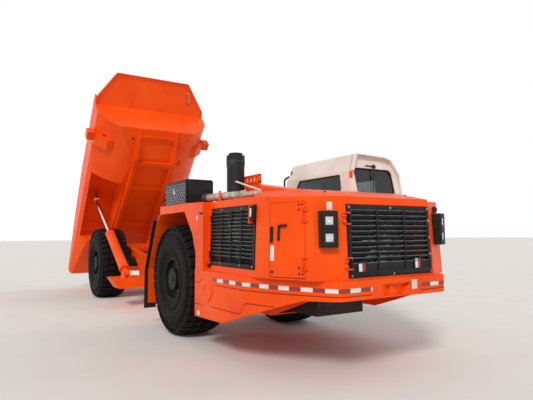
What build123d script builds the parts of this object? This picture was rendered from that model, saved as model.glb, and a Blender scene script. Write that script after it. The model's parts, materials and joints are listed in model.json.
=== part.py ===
from build123d import *
import math
import os

# Articulated underground dump truck with its load box tipped up, in millimetres.
# Sizes are taken from the ground point under the front axle: +X forward, +Y to the left, +Z up.
# ORIGIN_X then moves everything so that the origin is under the middle of the standing truck.
ORIGIN_X = 2677.0

# Running gear
TYRE_R = 990.0
TYRE_WIDTH = 760.0
TYRE_FACE_Y = 1480.0
BEAD_R = 385.0
WHEELBASE = 6160.0
SPINDLE_R = 120.0
PIN_GAP = 0.3
RUN_GAP = 8.0
AXLE_Z = TYRE_R
REAR_AXLE_X = -WHEELBASE
TYRE_INNER_Y = TYRE_FACE_Y - TYRE_WIDTH

# Articulation
HITCH_X = -1900.0
HITCH_PIN_R = 70.0
HITCH_LOW_Z = 620.0
HITCH_HIGH_Z = 1240.0

# Plates
PLATE = 30.0
SHEET = 20.0

# Skirt and bumper
SKIRT_HALF = 1510.0
SKIRT_TOP_Z = 1240.0
SKIRT_LOW_Z = 520.0
BUMPER_LOW_Z = 1010.0
NOSE_X = 4040.0
ARCH_FRONT_X = 1210.0

# Upper body
BODY_LOW_Z = SKIRT_TOP_Z
NOSE_TOP_Z = 2215.0
HOOD_Z = 2300.0
BODY_FACE_X = 3975.0
LEAN = 45.0

# Cab
CAB_REAR_X = 800.0
CAB_FRONT_X = 2650.0
CAB_RIGHT_Y = 520.0
CAB_LEFT_Y = 1630.0
CAB_ROOF_Z = 3090.0
CAB_FLOOR_Z = 1280.0
CAB_WALL = 50.0
GLASS = 8.0

# Load box, drawn lowered and then tipped about its pivot
BOX_PIVOT_X = -7400.0
BOX_PIVOT_Z = 1200.0
BOX_PIN_R = 60.0
BOX_TIP = 50.0
BOX_HALF = 1640.0
BOX_WALL = 28.0
BOX_FRONT_X = -3040.0
BOX_LIP_X = -2060.0
BOX_TAIL_X = -9080.0
BOX_FLOOR_HALF = 640.0
BOX_WING_Z = 2200.0
RAIL_OUT_Y = 610.0
RAIL_WIDTH = 110.0

# Hoist cylinders
HOIST_Y = 1230.0
HOIST_FOOT = (-3720.0, 845.0)
HOIST_EYE_LOW = (-5950.0, 2130.0)
HOIST_BARREL_R = 118.0
HOIST_BARREL_LEN = 1870.0
HOIST_ROD_STAY = 185.0  # what stays inside the barrel of a rod that is drawn right out
HOIST_ROD_R = 52.0
HOIST_PIN_R = 40.0
HOIST_EYE_R = 95.0
HOIST_EYE_WIDTH = 100.0

# Steering cylinders
STEER_FRONT = (-900.0, 460.0)
STEER_REAR = (-2200.0, 360.0)
STEER_Z = 900.0
STEER_BARREL_R = 62.0
STEER_BARREL_LEN = 880.0
STEER_ROD_R = 30.0
STEER_PIN_R = 25.0
STEER_EYE_R = 60.0
STEER_EYE_WIDTH = 70.0
EAR = 25.0
PIN_FACE_GAP = 5.0

# Door hinges: the pin stands proud of the door and a little inside its edge
HINGE_PIN_R = 10.0
HINGE_KNUCKLE_R = 16.0
HINGE_KNUCKLE_LEN = 110.0
HINGE_ARM = 16.0
HINGE_PROUD = 12.0
HINGE_SET_IN = 35.0
HINGE_FOOT = 33.0

os.makedirs("parts", exist_ok=True)


# Helpers

def block(x0, x1, y0, y1, z0, z1):
    """A box between two corners."""
    size = Box(x1 - x0, y1 - y0, z1 - z0)
    return Pos((x0 + x1) / 2, (y0 + y1) / 2, (z0 + z1) / 2) * size


def side_prism(points, y0, y1):
    """An outline of (x, z) points, as thick as y0 to y1."""
    outline = make_face(Polyline(*[(x, y0, z) for x, z in points], close=True))
    return extrude(outline, amount=y1 - y0, dir=(0, 1, 0))


def plan_prism(points, z0, z1):
    """An outline of (x, y) points, as tall as z0 to z1."""
    outline = make_face(Polyline(*[(x, y, z0) for x, y in points], close=True))
    return extrude(outline, amount=z1 - z0, dir=(0, 0, 1))


def cross_prism(points, x0, x1):
    """An outline of (y, z) points, as long as x0 to x1."""
    outline = make_face(Polyline(*[(x0, y, z) for y, z in points], close=True))
    return extrude(outline, amount=x1 - x0, dir=(1, 0, 0))


def cylinder_y(x, z, radius, y0, y1):
    return Pos(x, (y0 + y1) / 2, z) * Rot(90, 0, 0) * Cylinder(radius, y1 - y0)


def cylinder_z(x, y, radius, z0, z1):
    return Pos(x, y, (z0 + z1) / 2) * Cylinder(radius, z1 - z0)


def cylinder_x(y, z, radius, x0, x1):
    return Pos((x0 + x1) / 2, y, z) * Rot(0, 90, 0) * Cylinder(radius, x1 - x0)


def bar_between(start, end, radius):
    """A round bar from one point to another."""
    a = Vector(*start)
    b = Vector(*end)
    along = b - a
    place = Plane(origin=(a + b) * 0.5, z_dir=along)
    return place * Cylinder(radius, along.length)


def both_sides(shape):
    """The shape and its mirror image across the middle of the truck."""
    return [shape, mirror(shape, Plane.XZ)]


def joined(pieces):
    """One node from pieces that touch or stand apart."""
    total = pieces[0]
    for piece in pieces[1:]:
        total = total + piece
    return total


def mirrored_outline(half):
    """A closed outline from its left half, listed front to rear or rear to front."""
    return half + [(x, -y) for x, y in reversed(half)]


def tipped(shape):
    """Turns a load box piece from lowered to its place in the raised box."""
    return shape.rotate(Axis((BOX_PIVOT_X, 0, BOX_PIVOT_Z), (0, 1, 0)), -BOX_TIP)


def tipped_point(x, z):
    turn = math.radians(BOX_TIP)
    dx = x - BOX_PIVOT_X
    dz = z - BOX_PIVOT_Z
    return (BOX_PIVOT_X + dx * math.cos(turn) - dz * math.sin(turn),
            BOX_PIVOT_Z + dx * math.sin(turn) + dz * math.cos(turn))


def save(name, shape):
    placed = Pos(ORIGIN_X, 0, 0) * shape
    solids = placed.solids()
    export_step(Compound(children=list(solids)) if len(solids) > 1 else solids[0], f"parts/{name}.step")


# Door hinges

def hinge_knuckle(place, proud):
    """The bored knuckle on a door. In the hinge's frame Z is along the pin, X to the post and Y outwards."""
    web = block(-HINGE_PIN_R - 3, HINGE_PIN_R + 3, -proud - 8, 0, -HINGE_KNUCKLE_LEN / 2, HINGE_KNUCKLE_LEN / 2)
    knuckle = web + Cylinder(HINGE_KNUCKLE_R, HINGE_KNUCKLE_LEN)
    return place * (knuckle - Cylinder(HINGE_PIN_R + PIN_GAP, HINGE_KNUCKLE_LEN + 2))


def hinge_post(place, step):
    """The pin and its two arms, which stand on the post beside the door."""
    half = HINGE_KNUCKLE_LEN / 2 + PIN_FACE_GAP
    foot = HINGE_SET_IN + RUN_GAP + 2
    pieces = [Cylinder(HINGE_PIN_R, 2 * (half + HINGE_ARM))]
    for z0 in (-half - HINGE_ARM, half):
        z1 = z0 + HINGE_ARM
        pieces.append(block(0, foot + HINGE_FOOT, PIN_FACE_GAP - HINGE_PROUD, HINGE_PIN_R, z0, z1))
        pieces.append(block(foot, foot + HINGE_FOOT, -step - 10, HINGE_PIN_R, z0, z1))
    return place * joined(pieces)


# Wheels

RIM_DISC_Y = TYRE_FACE_Y - 150.0
RIM_BACK_Y = TYRE_INNER_Y + 60.0
HUB_CAP_R = 190.0
TYRE_SIDE_R = 900.0


def tyre(x, side):
    """A rock tyre, revolved about its axle."""
    y0 = TYRE_INNER_Y
    y1 = TYRE_FACE_Y
    profile = [(BEAD_R, y0 + 60), (BEAD_R + 30, y0 + 25), (TYRE_SIDE_R - 180, y0), (TYRE_SIDE_R, y0 + 25),
               (TYRE_R, y0 + 70), (TYRE_R, y1 - 70), (TYRE_SIDE_R, y1 - 25), (TYRE_SIDE_R - 180, y1),
               (BEAD_R + 30, y1 - 25), (BEAD_R, y1 - 60)]
    face = make_face(Polyline(*[(0, y, r) for r, y in profile], close=True))
    ring = revolve(face, Axis.Y)
    placed = Pos(x, 0, AXLE_Z) * ring
    return placed if side > 0 else mirror(placed, Plane.XZ)


def rim(x, side):
    """A dished wheel with its planet hub, bored for the spindle."""
    well = cylinder_y(x, AXLE_Z, BEAD_R, RIM_BACK_Y, TYRE_FACE_Y - 60)
    hollow = cylinder_y(x, AXLE_Z, BEAD_R - 28, RIM_DISC_Y, TYRE_FACE_Y)
    back = cylinder_y(x, AXLE_Z, BEAD_R - 28, RIM_BACK_Y - 5, RIM_DISC_Y - 40)
    hub = cylinder_y(x, AXLE_Z, HUB_CAP_R, RIM_DISC_Y - 60, TYRE_FACE_Y - 50)
    bore = cylinder_y(x, AXLE_Z, SPINDLE_R + PIN_GAP, RIM_BACK_Y - 5, RIM_DISC_Y + 20)
    wheel = well - hollow - back + hub - bore
    return wheel if side > 0 else mirror(wheel, Plane.XZ)


def axle(x, tube_r, pot_r, seat_y, seat_z):
    """A rigid axle: middle housing, two tubes, brake drums, spindles and the pads under the frame."""
    pads = both_sides(block(x - 150, x + 150, seat_y[0], seat_y[1], AXLE_Z + 60, seat_z))
    pot = Pos(x, 0, AXLE_Z) * Rot(90, 0, 0) * Cylinder(tube_r, 2 * (RIM_BACK_Y - 60))
    middle = Pos(x, 0, AXLE_Z) * Sphere(pot_r)
    spindle = cylinder_y(x, AXLE_Z, SPINDLE_R, -(RIM_DISC_Y + 12), RIM_DISC_Y + 12)
    drums = [cylinder_y(x, AXLE_Z, 250, FRAME_OUT_Y + 25, RIM_BACK_Y + 20),
             cylinder_y(x, AXLE_Z, 250, -RIM_BACK_Y - 20, -FRAME_OUT_Y - 25)]
    return joined([pot, middle, spindle] + drums + pads)


# Front unit

FRAME_OUT_Y = 640.0
FRAME_TOP_Z = 1235.0
FRAME_LOW_Z = 560.0
AXLE_SEAT_Z = AXLE_Z + 155.0
REAR_SEAT_Z = 1300.0


def front_frame():
    """Two deep side plates with cross plates, a belly plate and the hitch forks."""
    nose_top = SKIRT_TOP_Z - SHEET
    outline = [(3500, 1040), (3500, nose_top), (3300, nose_top), (3300, FRAME_TOP_Z), (-1250, FRAME_TOP_Z),
               (-1250, FRAME_LOW_Z), (-560, FRAME_LOW_Z), (-200, AXLE_SEAT_Z), (200, AXLE_SEAT_Z),
               (560, FRAME_LOW_Z), (2100, FRAME_LOW_Z)]
    plates = both_sides(side_prism(outline, FRAME_OUT_Y - PLATE, FRAME_OUT_Y))
    inner = FRAME_OUT_Y - PLATE
    # Cross plates: where each stands, its low edge and its top
    cross = [block(x, x + PLATE, -inner, inner, z0, z1)
             for x, z0, z1 in ((-1250, 980, FRAME_TOP_Z), (650, 820, FRAME_TOP_Z), (3460, 1050, nose_top))]
    belly = block(560, 2100, -inner, inner, FRAME_LOW_Z, FRAME_LOW_Z + SHEET)
    forks = []
    for z0 in (HITCH_LOW_Z, HITCH_HIGH_Z - 200):
        for level in (z0, z0 + 140):
            plate = plan_prism([(-1250, -330), (-1250, 330), (HITCH_X, 120), (HITCH_X, -120)], level, level + 40)
            nose = cylinder_z(HITCH_X, 0, 130, level, level + 40)
            forks.append(plate + nose)
    cheeks = [block(-1280, -1250, -230, 230, HITCH_LOW_Z, FRAME_TOP_Z)]
    ears = []
    for gap in (-1, 1):
        z = STEER_Z + gap * (STEER_EYE_WIDTH / 2 + PIN_FACE_GAP + EAR / 2)
        ear = block(STEER_FRONT[0] - 70, STEER_FRONT[0] + 70, STEER_FRONT[1] - 65, inner, z - EAR / 2, z + EAR / 2)
        ears += both_sides(ear)
    pin_half = STEER_EYE_WIDTH / 2 + PIN_FACE_GAP + EAR
    ears += both_sides(cylinder_z(*STEER_FRONT, STEER_PIN_R, STEER_Z - pin_half, STEER_Z + pin_half))
    body = joined(plates + cross + [belly] + forks + cheeks + ears)
    body = body - cylinder_z(HITCH_X, 0, HITCH_PIN_R, HITCH_LOW_Z - 40, HITCH_HIGH_Z + 40)
    return body


def hitch_pins():
    """The two upright pins that the truck folds about."""
    return joined([cylinder_z(HITCH_X, 0, HITCH_PIN_R, z0 - 20, z0 + 200) for z0 in (HITCH_LOW_Z, HITCH_HIGH_Z - 200)])


SKIRT_HALF_OUTLINE = [(ARCH_FRONT_X, SKIRT_HALF), (2000, 1500), (2700, 1440), (3350, 1260), (3960, 970),
                      (NOSE_X, 890)]


def skirt():
    """Bent side skirts that run into the bumper, open inside."""
    outer = mirrored_outline(SKIRT_HALF_OUTLINE)
    inner = mirrored_outline([(ARCH_FRONT_X - 100, SKIRT_HALF - PLATE), (1995, 1500 - PLATE), (2692, 1440 - PLATE),
                              (3336, 1260 - PLATE), (3935, 948), (NOSE_X - PLATE, 878)])
    shell = plan_prism(outer, 300, SKIRT_TOP_Z) - plan_prism(inner, 200, SKIRT_TOP_Z - SHEET)
    below = side_prism([(0, 0), (ARCH_FRONT_X, SKIRT_LOW_Z), (2150, SKIRT_LOW_Z + 20), (3600, 990),
                        (4100, BUMPER_LOW_Z), (4100, 0)], -2000, 2000)
    shell = shell - below
    opening = block(ARCH_FRONT_X - 10, 3300, -FRAME_OUT_Y - 60, FRAME_OUT_Y + 60, SKIRT_TOP_Z - SHEET - 5,
                    SKIRT_TOP_Z + 5)
    recess = block(NOSE_X - 60, NOSE_X + 5, -245, 245, 1030, 1170)
    seat = block(NOSE_X - 90, NOSE_X - 1, -285, 285, BUMPER_LOW_Z, 1200) - recess
    rear_wall = block(ARCH_FRONT_X, ARCH_FRONT_X + PLATE, -SKIRT_HALF, SKIRT_HALF, SKIRT_LOW_Z, SKIRT_TOP_Z)
    rear_wall = rear_wall - block(0, 3000, -FRAME_OUT_Y - 25, FRAME_OUT_Y + 25, 0, 3000)
    shell = shell - opening - recess + seat + rear_wall
    hubs = both_sides(cylinder_y(1660, 945, 160, SKIRT_HALF - 10, SKIRT_HALF + 12)
                      - cylinder_y(1660, 945, 95, SKIRT_HALF + 2, SKIRT_HALF + 20))
    return joined([shell] + hubs)


BODY_SIDE_Y = 1420.0
DOOR_FACE = ((3220.0, 1385.0), (3820.0, 1150.0))
BODY_HALF_OUTLINE = [(1500, BODY_SIDE_Y), (2970, BODY_SIDE_Y), DOOR_FACE[0], DOOR_FACE[1], (BODY_FACE_X, 780)]


def lean_at(z):
    """How far the body's faces lean in at this height."""
    return LEAN * (z - BODY_LOW_Z) / (HOOD_Z - BODY_LOW_Z)


LEAN_ANGLE = math.degrees(math.atan2(LEAN, HOOD_Z - BODY_LOW_Z))


def leaned(points, amount):
    """The outline at the top, pulled in by a lean at the sides and the front."""
    return [(x - amount * (x > 3000), y - math.copysign(amount, y)) for x, y in points]


def body_loft(inset, z0, z1):
    half = [(x - inset * 0.9, y - inset) for x, y in BODY_HALF_OUTLINE]
    half[0] = (BODY_HALF_OUTLINE[0][0] + inset, half[0][1])
    low = mirrored_outline(half)
    high = leaned(low, LEAN)
    bottom = make_face(Polyline(*[(x, y, z0) for x, y in low], close=True))
    top = make_face(Polyline(*[(x, y, z1) for x, y in high], close=True))
    return loft([bottom, top], ruled=True)


SIDE_GRILLE = (1560.0, 2930.0, 1330.0, 2190.0)
SIDE_DOOR = (10.0, 540.0, 1262.0, 2190.0)
GRILLE_THICK = 50.0
GRILLE_PROUD = 10.0
GRILLE_FRAME = 50.0
FRONT_GRILLE = (-735.0, 735.0, 1262.0, 2150.0)


def upper_body():
    """Sheet body over the skirt: posts, corner panels and hood top, open at the grilles and the side door."""
    outer = body_loft(0, BODY_LOW_Z, HOOD_Z)
    inner = body_loft(SHEET, BODY_LOW_Z - 1, HOOD_Z)
    cut_top, cut_inner = [side_prism([(0, HOOD_Z - drop), (2700, HOOD_Z - drop), (BODY_FACE_X + 100, NOSE_TOP_Z - drop),
                                      (BODY_FACE_X + 100, 3000), (0, 3000)], -2000, 2000) for drop in (0, SHEET)]
    shell = (outer - cut_top) - (inner - cut_inner)
    cab_space = block(1400, CAB_FRONT_X + 60, CAB_RIGHT_Y - 40, 2000, BODY_LOW_Z - 5, 2600)
    g0, g1, g2, g3 = SIDE_GRILLE
    side_open = block(g0, g1, -1600, -1280, g2, g3)
    f0, f1, f2, f3 = FRONT_GRILLE
    front_open = block(BODY_FACE_X - 150, BODY_FACE_X + 50, f0, f1, f2, f3)
    engine_bay = block(1490, 1530, -FRAME_OUT_Y, CAB_RIGHT_Y, BODY_LOW_Z - 5, HOOD_Z - 60)
    shell = shell - cab_space - side_open - front_open - engine_bay - door_slab(0)
    posts = [hinge_post(place, HINGE_PROUD + GRILLE_PROUD) for place in side_grille_hinges() + front_grille_hinges()]
    posts += [hinge_post(place, HINGE_PROUD) for place in side_door_hinges()]
    return joined([shell] + posts)


def door_point(along, out, z):
    """A point on the door's face of the body: along it, out of it and at a height."""
    (x0, y0), (x1, y1) = DOOR_FACE
    run = math.hypot(x1 - x0, y1 - y0)
    ux = (x1 - x0) / run
    uy = (y0 - y1) / run
    return (x0 + along * ux + out * uy - lean_at(z), -y0 + along * uy - out * ux + lean_at(z), z)


def door_slab(gap):
    """The side door's place, from start to end along its face and leaning in with it."""
    start, end, z0, z1 = SIDE_DOOR
    outline = [(start + gap, -80), (end - gap, -80), (end - gap, 80), (start + gap, 80)]
    ends = [make_face(Polyline(*[door_point(along, out, z) for along, out in outline], close=True))
            for z in (z0 + gap, z1 - gap)]
    return loft(ends, ruled=True)


def side_door_hinges():
    """Along the door's front edge."""
    along = SIDE_DOOR[1] - RUN_GAP - HINGE_SET_IN
    ahead = Vector(*door_point(1, 0, BODY_LOW_Z)) - Vector(*door_point(0, 0, BODY_LOW_Z))
    return [Plane(origin=door_point(along, HINGE_PROUD, z), x_dir=ahead, z_dir=(LEAN, -LEAN, BODY_LOW_Z - HOOD_Z))
            for z in (1440, 2010)]


def side_grille_hinges():
    """Along the side grille's rear edge."""
    x = SIDE_GRILLE[0] + RUN_GAP + HINGE_SET_IN
    return [Plane(origin=(x, lean_at(z) - BODY_SIDE_Y - GRILLE_PROUD - HINGE_PROUD, z), x_dir=(-1, 0, 0),
                  z_dir=(0, LEAN, HOOD_Z - BODY_LOW_Z)) for z in (1490, 2030)]


def front_grille_hinges():
    """Along the front grille's edge on the right."""
    y = FRONT_GRILLE[0] + RUN_GAP + HINGE_SET_IN
    return [Plane(origin=(BODY_FACE_X - lean_at(z) + GRILLE_PROUD + HINGE_PROUD, y, z), x_dir=(0, -1, 0),
                  z_dir=(-LEAN, 0, HOOD_Z - BODY_LOW_Z)) for z in (1440, 1980)]


def side_door():
    outer = body_loft(0, BODY_LOW_Z, HOOD_Z)
    inner = body_loft(SHEET, BODY_LOW_Z - 1, HOOD_Z)
    panel = (outer - inner) & door_slab(RUN_GAP)
    return joined([panel] + [hinge_knuckle(place, HINGE_PROUD) for place in side_door_hinges()])


def grille(opening, slats, bars):
    """A louvred panel in its own plane: x across, y outwards, z up, centred on its middle."""
    start, end, z0, z1 = opening
    width = end - start - 2 * RUN_GAP
    height = z1 - z0 - 2 * RUN_GAP
    clear_w = width - 2 * GRILLE_FRAME
    clear_h = height - 2 * GRILLE_FRAME
    frame = Box(width, GRILLE_THICK, height) - Box(clear_w, GRILLE_THICK + 10, clear_h)
    pitch = clear_h / slats
    louvres = [Pos(0, 0, (i + 0.5) * pitch - clear_h / 2) * Rot(-28, 0, 0) * Box(clear_w + 1, 10, pitch * 0.72)
               for i in range(slats)]
    posts = [Pos(x, GRILLE_THICK * 0.36, 0) * Box(16, 12, clear_h + 1) for x in bars]
    return joined([frame] + louvres + posts)


def front_grille():
    f0, f1, f2, f3 = FRONT_GRILLE
    middle = (f2 + f3) / 2
    x = BODY_FACE_X - lean_at(middle) + GRILLE_PROUD - GRILLE_THICK / 2
    panel = Pos(x, (f0 + f1) / 2, middle) * Rot(0, -LEAN_ANGLE, 0) * Rot(0, 0, -90) * grille(FRONT_GRILLE, 12, (-240, 240))
    return joined([panel] + [hinge_knuckle(place, HINGE_PROUD) for place in front_grille_hinges()])


def side_grille():
    g0, g1, g2, g3 = SIDE_GRILLE
    middle = (g2 + g3) / 2
    y = lean_at(middle) - BODY_SIDE_Y - GRILLE_PROUD + GRILLE_THICK / 2
    panel = Pos((g0 + g1) / 2, y, middle) * Rot(-LEAN_ANGLE, 0, 0) * Rot(0, 0, 180) * grille(SIDE_GRILLE, 14, (-300, 0, 300))
    return joined([panel] + [hinge_knuckle(place, HINGE_PROUD) for place in side_grille_hinges()])


def radiator():
    core = block(3620, 3760, -640, 640, 1300, 2120)
    ring = Pos(3790, 0, 1700) * Rot(0, 90, 0) * (Cylinder(390, 60) - Cylinder(360, 80))
    feet = [block(3640, 3740, y - 40, y + 40, SKIRT_TOP_Z, 1300) for y in (-500, 500)]
    return joined([core, ring] + feet)


def fan(blades, radius, hub_r, depth):
    """A fan about its own Z axis, blades from a loop."""
    hub = Cylinder(hub_r, depth)
    vanes = [Rot(0, 0, i * 360 / blades) * Pos((radius + hub_r) / 2 - 10, 0, 0) * Rot(35, 0, 0)
             * Box(radius - hub_r + 20, depth * 1.4, 8) for i in range(blades)]
    return joined([hub] + vanes)


def fans():
    """The radiator fan and the side cooler fan, on their stub shafts."""
    front = Pos(3800, 0, 1700) * Rot(0, 90, 0) * (fan(8, 340, 90, 70) + Pos(0, 0, -15) * Cylinder(40, 50))
    side = Pos(2250, -1310, 1760) * Rot(90, 0, 0) * (fan(8, 330, 85, 60) + Pos(0, 0, -12.5) * Cylinder(35, 45))
    return [front, side]


def side_cooler():
    core = block(1700, 2800, -1275, -1150, 1340, 2180)
    ring = Pos(2250, -1290, 1760) * Rot(90, 0, 0) * (Cylinder(370, 30) - Cylinder(345, 40))
    feet = [block(x - 40, x + 40, -1250, -1170, SKIRT_TOP_Z, 1340) for x in (1800, 2700)]
    return joined([core, ring] + feet)


ARCH_TOP_Z = 2180.0
DECK_Z = 2320.0
ARCH_REAR_X = -460.0


def wheel_arches():
    """Wheel housings on both sides: outer plate, deck and inner wall."""
    plate = side_prism([(ARCH_FRONT_X, SKIRT_TOP_Z), (ARCH_FRONT_X, 1500), (1080, 1800), (740, ARCH_TOP_Z),
                        (ARCH_REAR_X, ARCH_TOP_Z - 10), (ARCH_REAR_X, DECK_Z), (780, DECK_Z), (1495, HOOD_Z),
                        (1495, SKIRT_TOP_Z)], SKIRT_HALF - 30, SKIRT_HALF - 10)
    right = mirror(plate, Plane.XZ)
    deck = side_prism([(ARCH_REAR_X, DECK_Z - SHEET), (ARCH_REAR_X, DECK_Z), (780, DECK_Z), (1495, HOOD_Z),
                       (1495, HOOD_Z - SHEET), (780, DECK_Z - SHEET)], -SKIRT_HALF + 30, -FRAME_OUT_Y)
    lip = block(ARCH_REAR_X, ARCH_REAR_X + SHEET, -SKIRT_HALF + 30, -FRAME_OUT_Y, ARCH_TOP_Z - 10, DECK_Z - SHEET)
    wall = side_prism([(ARCH_REAR_X, FRAME_TOP_Z), (ARCH_REAR_X, DECK_Z - SHEET), (780, DECK_Z - SHEET),
                       (1495, HOOD_Z - SHEET), (1495, FRAME_TOP_Z)], -FRAME_OUT_Y - SHEET, -FRAME_OUT_Y)
    side = right + deck + lip + wall
    front = block(1475, 1495, -SKIRT_HALF + 30, -FRAME_OUT_Y - SHEET, SKIRT_TOP_Z, HOOD_Z - SHEET / 2)
    side = side + front
    left = mirror(side, Plane.XZ)
    cab_space = block(CAB_REAR_X - 20, 3000, 300, 2000, CAB_FLOOR_Z - 30, 4000)
    return [side, left - cab_space]


def engine():
    """The engine as one plain block for its weight, with its four feet on the frame."""
    feet = [foot for x in (950, 2600) for foot in both_sides(block(x, x + 120, 430, FRAME_OUT_Y - PLATE, 900, 1000))]
    return joined([block(740, 2950, -430, 430, 640, 2050)] + feet)


AIR_CLEANER = (1640.0, -1000.0, 3080.0)


def air_cleaner():
    x, y, z1 = AIR_CLEANER
    can = cylinder_z(x, y, 140, HOOD_Z, z1 - 60)
    cap = cylinder_z(x, y, 146, z1 - 200, z1 - 40) + cylinder_z(x, y, 110, z1 - 40, z1)
    return can + cap


def exhaust_pipe():
    """The lagged pipe along the edge of the hood, on two saddles."""
    saddles = [block(x - 25, x + 25, -1255, -1175, HOOD_Z, 2360) for x in (1600, 2150)]
    return joined([bar_between((1080, -1215, 2400), (2300, -1215, 2366), 62)] + saddles)


def guarded_box():
    return block(-900, 180, -1230, -700, DECK_Z, 2790)


GUARD_FACE = [(-690, 2060), (-1200, 1100), (-1220, 430)]


def mudguards():
    """Plates behind the front wheels, with a rubber strip along the outer edge."""
    points = [(ARCH_REAR_X, ARCH_TOP_Z + 20), (ARCH_REAR_X, ARCH_TOP_Z + 60), *GUARD_FACE, (-1190, 430), (-1170, 1110),
              (-665, 2045)]
    return both_sides(side_prism(points, -SKIRT_HALF + 30, -FRAME_OUT_Y - SHEET))


def rubber_strips():
    """Rubber strips bolted to the outer edges of the mudguards."""
    points = GUARD_FACE + [(-1223, 330), (-1247, 330), (-1226, 1105), (-715, 2072)]
    return both_sides(side_prism(points, -SKIRT_HALF - 40, -SKIRT_HALF + 200))


# Cab

def cab_outline(inset):
    """The cab's section across, from its floor up over the roof."""
    r = CAB_RIGHT_Y + inset
    l = CAB_LEFT_Y - inset
    return [(r, CAB_FLOOR_Z + inset), (r, 2440), (r + 50, 2800), (r + 195, CAB_ROOF_Z - inset),
            (l - 300, CAB_ROOF_Z - 20 - inset), (l - 165, CAB_ROOF_Z - 60 - inset), (l - CAB_TUCK_HIGH, 2790),
            (l, CAB_WIDEST_Z), (l - CAB_TUCK_LOW, 1580), (l - CAB_TUCK_LOW, CAB_FLOOR_Z + inset)]


CAB_WIDEST_Z = 2390.0
CAB_TUCK_LOW = 60.0
CAB_TUCK_HIGH = 30.0
CAB_DOOR = (1330.0, 2230.0, 1420.0, 2860.0)
CAB_DOOR_REAR_GAP = 20.0


def cab_tuck(z):
    """How far the cab's left wall stands inside its widest line at this height."""
    if z < CAB_WIDEST_Z:
        return CAB_TUCK_LOW * (CAB_WIDEST_Z - z) / (CAB_WIDEST_Z - 1580)
    return CAB_TUCK_HIGH * (z - CAB_WIDEST_Z) / (2790 - CAB_WIDEST_Z)


def cab_door_hinges():
    """Places along the door's front edge, with how far each pin stands from the wall."""
    x = CAB_DOOR[1] - RUN_GAP - HINGE_SET_IN
    return [(Plane(origin=(x, CAB_LEFT_Y + HINGE_PROUD, z), x_dir=(1, 0, 0), z_dir=(0, 0, 1)), HINGE_PROUD + cab_tuck(z))
            for z in (1700, 2600)]


def cab_step(grow):
    """The lower rear of the cab ends ahead of the wheel."""
    return block(CAB_REAR_X - 10, ARCH_FRONT_X + 10 + grow, 0, 2000, 1000, ARCH_TOP_Z + 20 + grow)


def cab_hollow():
    outer = cross_prism(cab_outline(0), CAB_REAR_X, CAB_FRONT_X) - cab_step(0)
    inner = cross_prism(cab_outline(CAB_WALL), CAB_REAR_X + CAB_WALL, CAB_FRONT_X - CAB_WALL) - cab_step(CAB_WALL)
    slope = side_prism([(CAB_FRONT_X - 160, CAB_ROOF_Z + 50), (CAB_FRONT_X + 20, 2400), (CAB_FRONT_X + 400, 2400),
                        (CAB_FRONT_X + 400, CAB_ROOF_Z + 50)], 0, 2000)
    slope_in = slope.moved(Location((-CAB_WALL, 0, 0)))
    return (outer - slope) - (inner - slope_in)


def cab_windows_cut():
    """Openings for the glass: windscreen, right side, rear."""
    front = block(CAB_FRONT_X - 400, CAB_FRONT_X + 100, CAB_RIGHT_Y + 130, CAB_LEFT_Y - 130, 2420, 2860)
    right = side_prism([(1010, 2450), (1200, 2760), (2330, 2760), (2420, 2450)], CAB_RIGHT_Y - 100, CAB_RIGHT_Y + 150)
    rear = block(CAB_REAR_X - 50, CAB_REAR_X + 100, CAB_RIGHT_Y + 200, CAB_LEFT_Y - 250, 2420, 2800)
    return [front, right, rear]


def cab_door_cut(gap, rear_gap):
    d0, d1, d2, d3 = CAB_DOOR
    return block(d0 + rear_gap, d1 - gap, CAB_LEFT_Y - 260, CAB_LEFT_Y + 50, d2 + gap, d3 - gap)


def cab_shell():
    shell = cab_hollow()
    for cut in cab_windows_cut():
        shell = shell - cut
    feet = [cylinder_z(x, y, 60, SKIRT_TOP_Z, CAB_FLOOR_Z) for x in (1400, 2500) for y in (750, 1400)]
    posts = [hinge_post(place, step) for place, step in cab_door_hinges()]
    return joined([shell - cab_door_cut(0, 0)] + feet + posts)


def cab_door():
    panel = cab_hollow() & cab_door_cut(RUN_GAP, CAB_DOOR_REAR_GAP)
    window = block(CAB_DOOR[0] + 110, CAB_DOOR[1] - 110, CAB_LEFT_Y - 300, CAB_LEFT_Y + 50, 2300, CAB_DOOR[3] - 120)
    return joined([panel - window] + [hinge_knuckle(place, proud) for place, proud in cab_door_hinges()])


def cab_glass():
    """Panes set in the middle of the cab wall."""
    pane_shell = cross_prism(cab_outline(CAB_WALL / 2 - GLASS / 2), CAB_REAR_X + 21, CAB_FRONT_X)
    pane_inner = cross_prism(cab_outline(CAB_WALL / 2 + GLASS / 2), CAB_REAR_X + 21 + GLASS, CAB_FRONT_X + 1)
    slope = side_prism([(CAB_FRONT_X - 160, CAB_ROOF_Z + 50), (CAB_FRONT_X + 20, 2400), (CAB_FRONT_X + 400, 2400),
                        (CAB_FRONT_X + 400, CAB_ROOF_Z + 50)], 0, 2000)
    outer = pane_shell - slope.moved(Location((-21, 0, 0)))
    inner = pane_inner - slope.moved(Location((-21 - GLASS, 0, 0)))
    skin = outer - inner
    return [skin & cut for cut in cab_windows_cut()]


def seat():
    cushion = block(1450, 1950, 830, 1330, 1700, 1830)
    back = side_prism([(1390, 1830), (1330, 2600), (1450, 2600), (1520, 1830)], 850, 1310)
    base = block(1550, 1850, 930, 1230, CAB_FLOOR_Z + CAB_WALL, 1700)
    return joined([cushion, back, base])


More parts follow.
